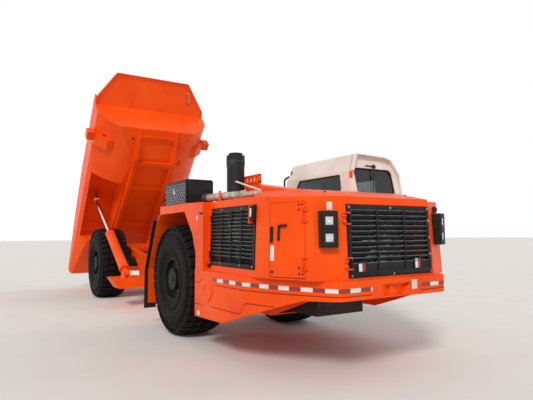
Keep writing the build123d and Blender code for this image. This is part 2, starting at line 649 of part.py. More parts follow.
def controls():
    floor = CAB_FLOOR_Z + CAB_WALL
    dash = side_prism([(2300, floor), (2300, 2150), (2500, 2300), (2560, 2300), (2560, floor)], 650, 1440)
    column = bar_between((2320, 1080, 2100), (2160, 1080, 2260), 30)
    wheel = Plane(origin=(2160, 1080, 2260), z_dir=(-1, 0, 1)) * Torus(170, 16)
    spokes = Plane(origin=(2160, 1080, 2260), z_dir=(-1, 0, 1)) * Box(330, 30, 14)
    return joined([dash, column, wheel, spokes])


LAMP_PLACE = Pos(3905, -985, 1850) * Rot(0, 0, -23) * Pos(30, 0, 0)


def lamp_clusters():
    """Two square lamps one over the other, in a housing on each corner panel."""
    housing = Pos(-40, 0, 0) * Box(140, 210, 430) - Pos(40, 0, 0) * Box(60, 180, 400)
    return both_sides(LAMP_PLACE * housing - body_loft(0, BODY_LOW_Z, HOOD_Z))


def lamp_lenses():
    lens = [Pos(19, 0, z) * Box(18, 150, 150) for z in (-100, 100)]
    right = [LAMP_PLACE * piece for piece in lens]
    return both_sides(right[0]) + both_sides(right[1])


LUG_BORE_R = 30.0


def lifting_lugs():
    lug = side_prism([(2400, HOOD_Z), (2450, 2470), (2550, 2470), (2600, HOOD_Z)], -20, 20)
    lug = lug - cylinder_y(2500, 2410, LUG_BORE_R, -50, 50)
    return [lug.moved(Location((0, y, 0))) for y in (-450, 380)]


# Rear unit

RFRAME_OUT_Y = 560.0
RFRAME_IN_Y = 430.0
OUTRIGGER_TOP_Z = 740.0


def rear_frame():
    """Two box beams that rise over the axle, the hitch tongue, the outriggers and the pivot ends."""
    beam = [(-2750, 640), (-2750, 1160), (-3900, 1200), (-4860, 1290), (-7150, 1600), (-7250, 1420), (-7560, 1300),
            (-7560, 1080), (-7300, 1030), (-6900, REAR_SEAT_Z), (-5450, REAR_SEAT_Z), (-5000, 1000), (-4700, 560), (-3400, 500)]
    beams = both_sides(side_prism(beam, RFRAME_IN_Y, RFRAME_OUT_Y))
    cross = [block(x, x + 220, -RFRAME_IN_Y, RFRAME_IN_Y, z0, z1)
             for x, z0, z1 in ((-2970, 640, 1150), (-4500, 640, 1150), (-7100, 1330, 1500))]
    tongue = []
    for z0 in (HITCH_LOW_Z, HITCH_HIGH_Z - 200):
        level = z0 + 40 + RUN_GAP
        outline = mirrored_outline([(-2970, 430), (-2120, 430), (HITCH_X, 110)])
        plate = plan_prism(outline, level, level + 100 - 2 * RUN_GAP)
        nose = cylinder_z(HITCH_X, 0, 120, level, level + 100 - 2 * RUN_GAP)
        tongue.append(plate + nose - cylinder_z(HITCH_X, 0, HITCH_PIN_R + PIN_GAP, 0, 2000))
    arm = cross_prism([(RFRAME_OUT_Y, 480), (1430, 480), (1600, OUTRIGGER_TOP_Z), (RFRAME_OUT_Y, OUTRIGGER_TOP_Z)],
                      -4150, -3560)
    foot = HOIST_FOOT
    cheeks = []
    for gap in (-1, 1):
        y = HOIST_Y + gap * (HOIST_EYE_WIDTH / 2 + 15 + 5)
        ear = side_prism([(foot[0] - 150, OUTRIGGER_TOP_Z), (foot[0] - 70, foot[1] + 60), (foot[0] + 60, foot[1] + 70),
                          (foot[0] + 140, OUTRIGGER_TOP_Z)], y - 15, y + 15)
        cheeks.append(ear)
    pin_half = HOIST_EYE_WIDTH / 2 + 45
    pin = cylinder_y(foot[0], foot[1], HOIST_PIN_R, HOIST_Y - pin_half, HOIST_Y + pin_half)
    side = joined([arm] + cheeks + [pin])
    ears = []
    for gap in (-1, 1):
        z = STEER_Z + gap * (STEER_EYE_WIDTH / 2 + PIN_FACE_GAP + EAR / 2)
        x, y = STEER_REAR
        ears += both_sides(block(-2400, x + 60, y - 60, 430, z - EAR / 2, z + EAR / 2))
        pin_z = STEER_Z + gap * (STEER_EYE_WIDTH / 2 + PIN_FACE_GAP + EAR + 10)
        ears += both_sides(cylinder_z(*STEER_REAR, STEER_PIN_R + 15, pin_z - 10, pin_z + 10))
    ears += both_sides(block(-2440, -2400, 280, 430, HITCH_LOW_Z + 100, HITCH_HIGH_Z - 140))
    frame = joined(beams + cross + tongue + both_sides(side) + ears)
    bore = cylinder_y(BOX_PIVOT_X, BOX_PIVOT_Z, BOX_PIN_R, -700, 700)
    return frame - bore


def box_pivot_pins():
    return both_sides(cylinder_y(BOX_PIVOT_X, BOX_PIVOT_Z, BOX_PIN_R, RFRAME_IN_Y - 20, 670))


# Load box, drawn lowered

def box_side_outline(inset):
    """The box seen from the side: lip, front, floor and tail."""
    floor = [(BOX_TAIL_X, 2080), (-7400, 1790), (-6680, 1720), (-4860, 1480), (-3910, 1420), (BOX_FRONT_X, 1600)]
    front = [(BOX_FRONT_X + 110, 2600)]
    lip = [(BOX_LIP_X, 3010)]
    floor = [(x - (inset if x > -3500 else 0), z + inset) for x, z in floor]
    front = [(front[0][0] - inset, front[0][1] + inset * 0.4)]
    lip = [(lip[0][0] - inset * 0.4, lip[0][1] + inset)]
    if inset:
        floor[0] = (BOX_TAIL_X - 200, floor[0][1] + 33)
    return floor + front + lip


def box_prism(inset):
    """Solid envelope of the box: the side outline cut to the end section."""
    side = box_side_outline(inset)
    tail_x = side[0][0]
    top = [(BOX_LIP_X - inset * 0.4, 4000), (tail_x, 4000)]
    envelope = side_prism(side + top, -BOX_HALF - 10, BOX_HALF + 10)
    half = BOX_HALF - inset
    flat = BOX_FLOOR_HALF - inset * 0.5
    wing = BOX_WING_Z + inset
    start = 1440 + inset
    outline = [Line((tail_x - 50, -flat, 1000), (tail_x - 50, flat, 1000)),
               Line((tail_x - 50, flat, 1000), (tail_x - 50, flat, start)),
               ThreePointArc((tail_x - 50, flat, start), (tail_x - 50, flat + 620, start + 290),
                             (tail_x - 50, half, wing)),
               Line((tail_x - 50, half, wing), (tail_x - 50, half, 4100)),
               Line((tail_x - 50, half, 4100), (tail_x - 50, -half, 4100)),
               Line((tail_x - 50, -half, 4100), (tail_x - 50, -half, wing)),
               ThreePointArc((tail_x - 50, -half, wing), (tail_x - 50, -flat - 620, start + 290),
                             (tail_x - 50, -flat, start)),
               Line((tail_x - 50, -flat, start), (tail_x - 50, -flat, 1000))]
    section = extrude(make_face(Wire(outline)), amount=8000, dir=(1, 0, 0))
    return envelope & section


WHEEL_POCKET = (-7350.0, -4880.0, 1540.0, 2420.0)


def wheel_pockets(grow, out_y):
    """Space over the rear wheels, round at the ends, as far out as out_y."""
    x0, x1, _, top_z = WHEEL_POCKET
    flat = BOX_FLOOR_HALF + 30
    r = 420
    body = block(x0 + r - grow, x1 - r + grow, flat - grow, out_y, 1000, top_z + grow)
    ends = [cylinder_y(x, top_z - r, r + grow, flat - grow, out_y) for x in (x0 + r, x1 - r)]
    legs = block(x0 - grow, x1 + grow, flat - grow, out_y, 1000, top_z - r)
    return both_sides(joined([body, legs] + ends))


def box_top_cut():
    """Everything above the rim of the box."""
    rim_line = [(BOX_LIP_X + 300, 3010), (BOX_LIP_X, 3010), (-2770, 2850), (-5200, 2880), (-6900, 2750),
                (BOX_TAIL_X - 400, 2330), (BOX_TAIL_X - 400, 4500), (BOX_LIP_X + 300, 4500)]
    return side_prism(rim_line, -2000, 2000)


def lip_corners():
    """Corners taken off the front lip."""
    right = plan_prism([(-2770, BOX_HALF), (BOX_LIP_X, 1090), (BOX_LIP_X + 100, 1090), (BOX_LIP_X + 100, 2000),
                        (-2770, 2000)], 1000, 4000)
    return both_sides(right)


def load_box():
    outer = box_prism(0)
    for pocket in wheel_pockets(0, WHEEL_POCKET[2]):
        outer = outer - pocket
    inner = box_prism(BOX_WALL)
    for pocket in wheel_pockets(BOX_WALL, BOX_HALF + 50):
        inner = inner - pocket
    shell = outer - inner - box_top_cut()
    for corner in lip_corners():
        shell = shell - corner
    return shell


def rail_outline():
    """A longitudinal rail from the tail to the front, following the floor."""
    top = [(-7700, 1900), (-6680, 1800), (-4860, 1600), (-3910, 1500), (-3040, 1700)]
    low = [(-3040, 1570), (-3910, 1280), (-4860, 1340), (-6680, 1600), (-7700, 1760)]
    return top + low


def box_underframe():
    """Two rails with cross members, the pivot lugs and the wings' box ribs."""
    solid = box_prism(0)
    rails = both_sides(side_prism(rail_outline(), RAIL_OUT_Y - RAIL_WIDTH, RAIL_OUT_Y))
    cross = [block(x, x + w, -RAIL_OUT_Y + RAIL_WIDTH, RAIL_OUT_Y - RAIL_WIDTH, z, z + 300)
             for x, w, z in ((-3350, 120, 1500), (-4150, 140, 1340), (-5050, 160, 1420), (-6700, 200, 1650))]
    rib = cross_prism([(RAIL_OUT_Y, 1640), (1350, 1660), (BOX_HALF, 1950), (BOX_HALF, 2260), (RAIL_OUT_Y, 2260)],
                      -3900, -3560)
    ribs = both_sides(rib)
    lug = side_prism([(-7650, 1850), (-7520, BOX_PIVOT_Z - 60), (-7400, BOX_PIVOT_Z - 125),
                      (-7280, BOX_PIVOT_Z - 60), (-6950, 1780)], RFRAME_OUT_Y + RUN_GAP, RFRAME_OUT_Y + RUN_GAP + 45)
    lugs = both_sides(lug - cylinder_y(BOX_PIVOT_X, BOX_PIVOT_Z, BOX_PIN_R + PIN_GAP, 0, 2000))
    frame = joined(rails + cross + ribs) - solid
    return joined([frame] + [piece - solid for piece in lugs])


def rod_brackets():
    """Two plates in each wheel pocket that hold the hoist rod's eye."""
    x, z = HOIST_EYE_LOW
    plates = []
    for gap in (-1, 1):
        y = HOIST_Y + gap * (HOIST_EYE_WIDTH / 2 + 15 + 5)
        plate = side_prism([(x - 260, WHEEL_POCKET[3]), (x - 90, z - 70), (x + 90, z - 70), (x + 260, WHEEL_POCKET[3])],
                           y - 15, y + 15)
        head = y + gap * 25
        round_end = cylinder_y(x, z, HOIST_EYE_R, y - 15, y + 15)
        plates.append(plate + round_end + cylinder_y(x, z, HOIST_PIN_R + 12, head - 10, head + 10))
    return both_sides(plates[0]) + both_sides(plates[1])


def box_ears():
    ear = block(-3760, -3520, 1640, 1860, 1960, 2200)
    return both_sides(ear)


# Cylinders

def linear_cylinder(start, end, barrel_len, barrel_r, rod_r, eye_r, eye_width, pin_r, flat_axis):
    """Barrel and rod from a foot pin to an eye pin. flat_axis is the pins' direction."""
    a = Vector(*start)
    b = Vector(*end)
    along = (b - a).normalized()
    head = a + along * barrel_len
    neck = bar_between(tuple(a + along * (eye_r - 10)), tuple(a + along * (eye_r + 110)), eye_width * 0.45)
    tube = bar_between(tuple(a + along * (eye_r + 95)), tuple(head), barrel_r) + neck
    bore_start = a + along * (eye_r + 120)
    tube = tube - bar_between(tuple(bore_start), tuple(head + along * 5), rod_r + PIN_GAP)
    eye_a = bar_between(tuple(a - flat_axis * (eye_width / 2)), tuple(a + flat_axis * (eye_width / 2)), eye_r)
    barrel = tube + eye_a - bar_between(tuple(a - flat_axis * 200), tuple(a + flat_axis * 200), pin_r + PIN_GAP)
    return barrel, along


def hoist_parts():
    start = (HOIST_FOOT[0], HOIST_Y, HOIST_FOOT[1])
    ex, ez = tipped_point(*HOIST_EYE_LOW)
    end = (ex, HOIST_Y, ez)
    flat = Vector(0, 1, 0)
    barrel, along = linear_cylinder(start, end, HOIST_BARREL_LEN, HOIST_BARREL_R, HOIST_ROD_R, HOIST_EYE_R,
                                    HOIST_EYE_WIDTH, HOIST_PIN_R, flat)
    b = Vector(*end)
    rod_start = Vector(*start) + along * (HOIST_BARREL_LEN - HOIST_ROD_STAY)
    rod = bar_between(tuple(rod_start), tuple(b - along * (HOIST_EYE_R - 15)), HOIST_ROD_R)
    eye = bar_between(tuple(b - flat * (HOIST_EYE_WIDTH / 2)), tuple(b + flat * (HOIST_EYE_WIDTH / 2)), HOIST_EYE_R)
    rod = rod + eye
    return barrel, rod


def steer_parts():
    start = (STEER_FRONT[0], STEER_FRONT[1], STEER_Z)
    end = (STEER_REAR[0], STEER_REAR[1], STEER_Z)
    flat = Vector(0, 0, 1)
    barrel, along = linear_cylinder(start, end, STEER_BARREL_LEN, STEER_BARREL_R, STEER_ROD_R, STEER_EYE_R,
                                    STEER_EYE_WIDTH, STEER_PIN_R, flat)
    b = Vector(*end)
    rod_start = Vector(*start) + along * (STEER_BARREL_LEN - 380)
    rod = bar_between(tuple(rod_start), tuple(b - along * (STEER_EYE_R - 10)), STEER_ROD_R)
    eye = bar_between(tuple(b - flat * (STEER_EYE_WIDTH / 2)), tuple(b + flat * (STEER_EYE_WIDTH / 2)), STEER_EYE_R)
    rod = rod + eye
    return barrel, rod


# Everything is built and saved by name

# Each wheel's corner, its axle and its side
for corner, x, side in (("front_left", 0, 1), ("front_right", 0, -1), ("rear_left", REAR_AXLE_X, 1),
                        ("rear_right", REAR_AXLE_X, -1)):
    save(f"tyre_{corner}", tyre(x, side))
    save(f"rim_{corner}", rim(x, side))
save("front_axle", axle(0, 150, 260, (FRAME_OUT_Y - PLATE, FRAME_OUT_Y), AXLE_SEAT_Z))
save("rear_axle", axle(REAR_AXLE_X, 150, 260, (RFRAME_IN_Y, RFRAME_OUT_Y), REAR_SEAT_Z))
save("front_frame", front_frame())
save("hitch_pins", hitch_pins())
save("skirt_and_bumper", skirt())
save("upper_body", upper_body())
save("side_door", side_door())
save("front_grille", front_grille())
save("side_grille", side_grille())
save("radiator", radiator())
save("side_cooler", side_cooler())
save("cooling_fans", joined(fans()))
save("wheel_arches", joined(wheel_arches()))
save("engine", engine())
save("air_cleaner", air_cleaner())
save("exhaust_pipe", exhaust_pipe())
save("guarded_box", guarded_box())
save("mudguards", joined(mudguards()))
save("rubber_strips", joined(rubber_strips()))
save("cab_shell", cab_shell())
save("cab_door", cab_door())
save("cab_glass", joined(cab_glass()))
save("seat", seat())
save("cab_controls", controls())
save("lamp_clusters", joined(lamp_clusters()))
save("lamp_lenses", joined(lamp_lenses()))
save("lifting_lugs", joined(lifting_lugs()))
save("rear_frame", rear_frame())
save("box_pivot_pins", joined(box_pivot_pins()))
save("load_box", tipped(load_box()))
save("box_underframe", tipped(box_underframe()))
save("rod_brackets", tipped(joined(rod_brackets())))
save("box_ears", tipped(joined(box_ears())))

hoist_barrel, hoist_rod = hoist_parts()
steer_barrel, steer_rod = steer_parts()
for name, shape in (("hoist_barrel", hoist_barrel), ("hoist_rod", hoist_rod), ("steer_barrel", steer_barrel),
                    ("steer_rod", steer_rod)):
    save(f"{name}_left", shape)
    save(f"{name}_right", mirror(shape, Plane.XZ))
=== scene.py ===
# Articulated underground dump truck with its box tipped: finishes, tread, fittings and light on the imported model
import json
import math
import random

import bmesh
import bpy
from mathutils import Matrix, Vector


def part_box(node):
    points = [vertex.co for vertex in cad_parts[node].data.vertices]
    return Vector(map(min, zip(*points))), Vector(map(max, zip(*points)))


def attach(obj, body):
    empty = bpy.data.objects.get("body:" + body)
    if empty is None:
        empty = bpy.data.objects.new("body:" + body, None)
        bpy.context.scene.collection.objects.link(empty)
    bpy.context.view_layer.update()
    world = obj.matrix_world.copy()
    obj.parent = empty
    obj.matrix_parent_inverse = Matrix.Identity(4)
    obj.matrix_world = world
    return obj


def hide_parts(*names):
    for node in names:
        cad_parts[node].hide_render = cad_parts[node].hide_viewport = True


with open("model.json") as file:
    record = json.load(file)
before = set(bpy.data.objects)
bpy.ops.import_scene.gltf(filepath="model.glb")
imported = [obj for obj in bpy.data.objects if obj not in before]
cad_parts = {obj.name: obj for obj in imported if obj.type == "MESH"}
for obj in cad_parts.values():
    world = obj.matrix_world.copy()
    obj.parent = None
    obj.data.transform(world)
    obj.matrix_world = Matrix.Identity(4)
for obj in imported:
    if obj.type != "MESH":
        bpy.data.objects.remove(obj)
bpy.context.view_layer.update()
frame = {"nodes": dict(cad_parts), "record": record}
NODES = frame["nodes"]
RECORD = frame["record"]


# Places are metres ahead of the front axle, to the truck's left and above the floor
def middle(node):
    low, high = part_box(node)
    return (Vector(low) + Vector(high)) / 2


AXLE_X = middle("front_axle").x
WHEELBASE = AXLE_X - middle("rear_axle").x
MM = 0.001


def at(x, y, z):
    return Vector((AXLE_X + x, y, z))


# Colours as they are written on a colour card, turned to linear light
def linear(hex_colour, alpha=1.0):
    values = [int(hex_colour[i:i + 2], 16) / 255 for i in (1, 3, 5)]
    return tuple(v / 12.92 if v <= 0.04045 else ((v + 0.055) / 1.055) ** 2.4 for v in values) + (alpha,)


# Materials
def add(tree, kind, settings=None, links=None):
    """Adds a node; a setting is an attribute, an input's value or a ramp's stops, and a link goes to an input."""
    node = tree.nodes.new(kind)
    for key, value in (settings or {}).items():
        if key == "stops":
            ramp = node.color_ramp
            while len(ramp.elements) < len(value):
                ramp.elements.new(0.5)
            for element, (place, colour) in zip(ramp.elements, value):
                element.position = place
                element.color = colour
        elif isinstance(key, int) or key in node.inputs:
            node.inputs[key].default_value = value
        else:
            setattr(node, key, value)
    for key, source in (links or {}).items():
        tree.links.new(source, node.inputs[key])
    return node


def new_material(name, **shader_values):
    """A material with one principled shader; the values go to the shader's own sockets."""
    material = bpy.data.materials.new(name)
    material.use_nodes = True
    tree = material.node_tree
    tree.nodes.clear()
    shader = add(tree, "ShaderNodeBsdfPrincipled", {key.replace("_", " "): v for key, v in shader_values.items()})
    output = tree.nodes.new("ShaderNodeOutputMaterial")
    tree.links.new(shader.outputs[0], output.inputs["Surface"])
    return material, tree, shader


def mottle(tree, size_mm, detail=4.0, stretch=(1, 1, 1)):
    """Even noise whose patches are about size_mm across, fixed to the piece."""
    place = add(tree, "ShaderNodeTexCoord")
    spread = add(tree, "ShaderNodeMapping", {"Scale": stretch}, {"Vector": place.outputs["Object"]})
    return add(tree, "ShaderNodeTexNoise", {"Scale": 1 / (size_mm * MM), "Detail": detail},
               {"Vector": spread.outputs[0]}).outputs["Fac"]


def shades(tree, factor, stops):
    """A run of colours, given as place and hex colour, along a factor."""
    return add(tree, "ShaderNodeValToRGB", {"stops": [(p, linear(c)) for p, c in stops]}, {"Fac": factor}).outputs["Color"]


def levels(tree, factor, low, high, to_low, to_high):
    """A factor brought from one span to another, held at its ends."""
    return add(tree, "ShaderNodeMapRange", {"From Min": low, "From Max": high, "To Min": to_low, "To Max": to_high},
               {"Value": factor}).outputs["Result"]


def blend_colours(tree, factor, first, second):
    node = add(tree, "ShaderNodeMix", {"data_type": "RGBA"})
    tree.links.new(factor, node.inputs[0])
    for socket, value in ((node.inputs[6], first), (node.inputs[7], second)):
        if isinstance(value, str):
            socket.default_value = linear(value)
        else:
            tree.links.new(value, socket)
    return node.outputs[2]


def raised(tree, shader, height, depth_mm, strength=1.0, edge_mm=0.0):
    """Bumps of depth_mm from a height factor, over edges rounded by edge_mm."""
    bump = add(tree, "ShaderNodeBump", {"Distance": depth_mm * MM, "Strength": strength}, {"Height": height})
    if edge_mm:
        edge = add(tree, "ShaderNodeBevel", {"samples": 4, "Radius": edge_mm * MM})
        tree.links.new(edge.outputs[0], bump.inputs["Normal"])
    tree.links.new(bump.outputs[0], shader.inputs["Normal"])


def sprayed_enamel(name, colour, pale, deep, roughness=0.38, coat=0.04, dust="#8C6A50", dusty=0.08):
    """Sprayed two-pack enamel over plate: a wet gloss with slight orange peel, soft shifts of colour, dust that
    settles on what faces up and a paler line along the rounded edges."""
    material, tree, shader = new_material(name, Roughness=roughness, Coat_Weight=coat, Coat_Roughness=0.15,
                                          Specular_IOR_Level=0.2)
    body = shades(tree, mottle(tree, 700), [(0.3, deep), (0.5, colour), (0.72, pale)])
    facing = add(tree, "ShaderNodeNewGeometry").outputs["Normal"]
    up = add(tree, "ShaderNodeSeparateXYZ", links={"Vector": facing}).outputs["Z"]
    settled = add(tree, "ShaderNodeMath", {"operation": "MULTIPLY"},
                  {0: levels(tree, up, 0.35, 1.0, 0.0, dusty), 1: levels(tree, mottle(tree, 90), 0.3, 0.7, 0.3, 1.0)})
    tree.links.new(blend_colours(tree, settled.outputs[0], body, dust), shader.inputs["Base Color"])
    gloss = add(tree, "ShaderNodeMath", {"operation": "MULTIPLY_ADD", 1: 0.9},
                {0: settled.outputs[0], 2: levels(tree, mottle(tree, 160), 0.3, 0.7, roughness - 0.05, roughness + 0.07)})
    tree.links.new(gloss.outputs[0], shader.inputs["Roughness"])
    # Orange peel is about 4 mm across; it is drawn at 14 mm so that it shows at all
    raised(tree, shader, mottle(tree, 14, 1.0), 0.3, 0.15, edge_mm=9)
    return material


def satin_black(name, colour="#141517", worn="#242422", roughness=0.42):
    """Black stove enamel on pressed steel: satin, with grey rubbed patches and fine grit."""
    material, tree, shader = new_material(name, Roughness=roughness, Specular_IOR_Level=0.2)
    tree.links.new(shades(tree, mottle(tree, 120), [(0.35, colour), (0.7, worn)]), shader.inputs["Base Color"])
    tree.links.new(levels(tree, mottle(tree, 60), 0.3, 0.7, roughness - 0.1, roughness + 0.15), shader.inputs["Roughness"])
    raised(tree, shader, mottle(tree, 12, 3.0), 0.5, 0.4, edge_mm=5)
    return material


def tyre_rubber():
    """Cured carbon-black rubber: dull, slightly brown with floor dust in the tread, fine mould grain."""
    material, tree, shader = new_material("tyre_rubber", Roughness=0.72, Specular_IOR_Level=0.15)
    dust = levels(tree, mottle(tree, 130, 6.0), 0.45, 0.75, 0.0, 0.4)
    tree.links.new(blend_colours(tree, dust, "#100F10", "#2A1F18"), shader.inputs["Base Color"])
    tree.links.new(levels(tree, mottle(tree, 70), 0.3, 0.7, 0.6, 0.86), shader.inputs["Roughness"])
    raised(tree, shader, mottle(tree, 18, 5.0), 1.2, 0.5)
    return material


def cast_iron():
    """Cast iron under thin black primer: a sandy skin, brown where it has flashed over."""
    material, tree, shader = new_material("cast_iron", Roughness=0.7, Metallic=0.2)
    tree.links.new(shades(tree, mottle(tree, 90, 6.0), [(0.35, "#1C1B1B"), (0.6, "#2B2725"), (0.78, "#4A3527")]),
                   shader.inputs["Base Color"])
    raised(tree, shader, mottle(tree, 10, 4.0), 1.5, 0.6, edge_mm=6)
    return material


def hard_chrome():
    """Ground and plated rod: a mirror with faint rings left by the grinding."""
    material, tree, shader = new_material("hard_chrome", Metallic=1.0, Roughness=0.14)
    tree.links.new(shades(tree, mottle(tree, 200), [(0.3, "#C9CBCD"), (0.7, "#E4E4E2")]), shader.inputs["Base Color"])
    raised(tree, shader, mottle(tree, 9, 2.0, (6, 1, 6)), 0.15, 0.3)
    return material


def foil_lagging():
    """Aluminised glass cloth round a hot pipe: wrinkled silver with brown heat stains."""
    material, tree, shader = new_material("foil_lagging", Metallic=0.75, Roughness=0.42)
    tree.links.new(shades(tree, mottle(tree, 110, 5.0), [(0.3, "#8E7F6F"), (0.5, "#C4BAAD"), (0.75, "#DAD5CC")]),
                   shader.inputs["Base Color"])
    wrinkle = add(tree, "ShaderNodeTexVoronoi", {"Scale": 1 / (45 * MM), "feature": "SMOOTH_F1"})
    tree.links.new(add(tree, "ShaderNodeTexCoord").outputs["Object"], wrinkle.inputs["Vector"])
    raised(tree, shader, wrinkle.outputs["Distance"], 8, 0.6)
    return material


def moulded_black(name="moulded_black", colour="#1A1B1D", roughness=0.55):
    """Moulded black plastic: an even spark-eroded grain and a soft sheen."""
    material, tree, shader = new_material(name, Roughness=roughness, Specular_IOR_Level=0.25)
    tree.links.new(shades(tree, mottle(tree, 200), [(0.3, colour), (0.7, "#222325")]), shader.inputs["Base Color"])
    # The grain is under 1 mm; it is drawn at 8 mm so that the highlight breaks up
    raised(tree, shader, mottle(tree, 8, 2.0), 0.4, 0.4, edge_mm=5)
    return material


def safety_glass():
    """Laminated cab glass: a cool grey tint, clear and polished, with a light film of dust."""
    material, tree, shader = new_material("safety_glass", Roughness=0.03, Transmission_Weight=1.0, IOR=1.45)
    tree.links.new(shades(tree, mottle(tree, 300), [(0.3, "#525D60"), (0.7, "#5F6A6C")]), shader.inputs["Base Color"])
    tree.links.new(levels(tree, mottle(tree, 120), 0.4, 0.7, 0.02, 0.07), shader.inputs["Roughness"])
    return material


def seat_cloth():
    """Woven seat cloth, pale grey-blue: fuzzy, with a 3 mm weave drawn at 12 mm so that it shows."""
    material, tree, shader = new_material("seat_cloth", Roughness=0.9, Sheen_Weight=0.4)
    place = add(tree, "ShaderNodeTexCoord").outputs["Object"]
    weave = add(tree, "ShaderNodeTexChecker", {"Scale": 1 / (12 * MM)}, {"Vector": place})
    tree.links.new(shades(tree, mottle(tree, 60), [(0.3, "#7E8C98"), (0.7, "#A3AFB8")]), shader.inputs["Base Color"])
    raised(tree, shader, weave.outputs["Fac"], 1.0, 0.4)
    return material


def extruded_rubber():
    """Extruded rubber strip: matt black with faint lines along its length."""
    material, tree, shader = new_material("extruded_rubber", Roughness=0.8, Specular_IOR_Level=0.3)
    tree.links.new(shades(tree, mottle(tree, 90), [(0.35, "#141414"), (0.7, "#242221")]), shader.inputs["Base Color"])
    raised(tree, shader, mottle(tree, 15, 3.0), 0.8, 0.4)
    return material


def prismatic_tape(name, colour, dark):
    """Retroreflective tape: a bright film over small prisms, slightly grey in its welds."""
    material, tree, shader = new_material(name, Roughness=0.32, Coat_Weight=0.6)
    place = add(tree, "ShaderNodeTexCoord").outputs["Object"]
    prisms = add(tree, "ShaderNodeTexVoronoi", {"Scale": 1 / (18 * MM), "feature": "DISTANCE_TO_EDGE"}, {"Vector": place})
    tree.links.new(shades(tree, prisms.outputs["Distance"], [(0.0, dark), (0.12, colour)]), shader.inputs["Base Color"])
    return material


def zinc_plate():
    """Zinc-plated bolts and clips: pale grey metal, a little cloudy."""
    material, tree, shader = new_material("zinc_plate", Metallic=0.9, Roughness=0.4)
    tree.links.new(shades(tree, mottle(tree, 40), [(0.3, "#8B8C8B"), (0.7, "#B9BAB6")]), shader.inputs["Base Color"])
    raised(tree, shader, mottle(tree, 12, 2.0), 0.3, 0.3)
    return material


def cooler_fins():
    """Black cooler core: close rows of fins at a 10 mm pitch, drawn at 24 mm as stripes, near-black between the rows as
    painted shade and grey along the rows.
    """
    material, tree, shader = new_material("cooler_fins", Roughness=0.6, Metallic=0.3)
    place = add(tree, "ShaderNodeTexCoord").outputs["Object"]
    rows = add(tree, "ShaderNodeTexWave", {"Scale": 0.314 / (24 * MM), "bands_direction": "Z", "wave_profile": "SIN"},
               {"Vector": place})
    # Near-black between the fin rows is painted shade; the rows run to grey
    tree.links.new(shades(tree, rows.outputs["Fac"], [(0.2, "#0E0F10"), (0.8, "#3A3B3C")]), shader.inputs["Base Color"])
    raised(tree, shader, rows.outputs["Fac"], 6, 0.8)
    return material


def led_lens():
    """Clear lamp glass over a bright reflector."""
    material, tree, shader = new_material("lamp_glass", Roughness=0.1, Coat_Weight=0.8, Metallic=0.2)
    tree.links.new(shades(tree, mottle(tree, 30), [(0.35, "#C8D2D8"), (0.65, "#F4F6F7")]), shader.inputs["Base Color"])
    return material


ORANGE = sprayed_enamel("orange_enamel", "#FA5200", "#FC5C06", "#F04A00")
CAB_WHITE = sprayed_enamel("cab_enamel", "#E9E2D8", "#F1ECE4", "#DDD4C9", roughness=0.38, coat=0.05, dusty=0.15)
BLACK = satin_black("satin_black")
GREY_STEEL = satin_black("dark_grey_steel", "#2E3136", "#40434A", 0.45)
# A paler grey for the strips along the slats' lips
SLAT_EDGE = satin_black("pale_slat_edge", "#50555D", "#6A6F76", 0.4)
GUARD_WIRE = satin_black("guard_wire", "#7C848C", "#8F969C", 0.45)
FAN_METAL = satin_black("fan_metal", "#A7ABAE", "#C2C4C4", 0.5)
RUBBER = tyre_rubber()
IRON = cast_iron()
CHROME = hard_chrome()
LAGGING = foil_lagging()
PLASTIC = moulded_black()
GLASS = safety_glass()
CLOTH = seat_cloth()
STRIP = extruded_rubber()
TAPE_WHITE = prismatic_tape("white_tape", "#EEF0EE", "#B5B8B8")
TAPE_RED = prismatic_tape("red_tape", "#9C1410", "#6A0C0A")
BLANK = sprayed_enamel("blank_plate", "#E6DFD3", "#EEE9E0", "#D9D0C2", roughness=0.4, coat=0.1, dusty=0.1)
# Darker orange for the skirt's pressed lines: painted shade in their creases
CREASE_SHADE = sprayed_enamel("painted_crease_shade", "#A93206", "#B63A0B", "#982B04", roughness=0.5, coat=0.0)
ZINC = zinc_plate()
FINS = cooler_fins()
LENS = led_lens()

SLOT_MATERIAL = {
    "orange_paint": ORANGE, "cab_paint": CAB_WHITE, "dark_steel": BLACK, "tyre_rubber": RUBBER, "axle_iron": IRON,
    "chrome_rod": CHROME, "lagging": LAGGING, "black_plastic": PLASTIC, "window_glass": GLASS, "seat_cloth": CLOTH,
    "soft_rubber": STRIP,
}
NODE_MATERIAL = {"radiator": FINS, "side_cooler": FINS, "lamp_lenses": LENS, "cooling_fans": FAN_METAL}


def finish_nodes():
    """Every CAD node takes its slot's finish, or one of its own."""
    for part in RECORD["subparts"]:
        node = NODES[part["node"]]
        node.data.materials.clear()
        node.data.materials.append(NODE_MATERIAL.get(part["node"], SLOT_MATERIAL[part["material_slot"]]))


# Mesh tools
def add_box(bm, low, high, turn=None, bevel=0.0):
    """A box from its low to its high corner, turned by a matrix, with its edges bevelled."""
    low, high = Vector(low), Vector(high)
    result = bmesh.ops.create_cube(bm, size=1.0)
    size = high - low
    centre = (low + high) / 2
    matrix = Matrix.Translation(centre) @ Matrix.Diagonal((*size, 1.0))
    if turn is not None:
        matrix = turn @ matrix
    bmesh.ops.transform(bm, matrix=matrix, verts=result["verts"])
    if bevel:
        edges = list({edge for vert in result["verts"] for edge in vert.link_edges})
        bmesh.ops.bevel(bm, geom=edges, offset=bevel, segments=2, affect="EDGES", profile=0.6)
    return result["verts"]


def add_rod(bm, start, end, radius, sides=24, end_radius=None):
    """A round bar between two points, or a taper where it has an end radius."""
    start, end = Vector(start), Vector(end)
    run = end - start
    matrix = Matrix.Translation((start + end) / 2) @ run.to_track_quat("Z", "Y").to_matrix().to_4x4()
    bmesh.ops.create_cone(bm, cap_ends=True, segments=sides, radius1=radius,
                          radius2=radius if end_radius is None else end_radius, depth=run.length, matrix=matrix)


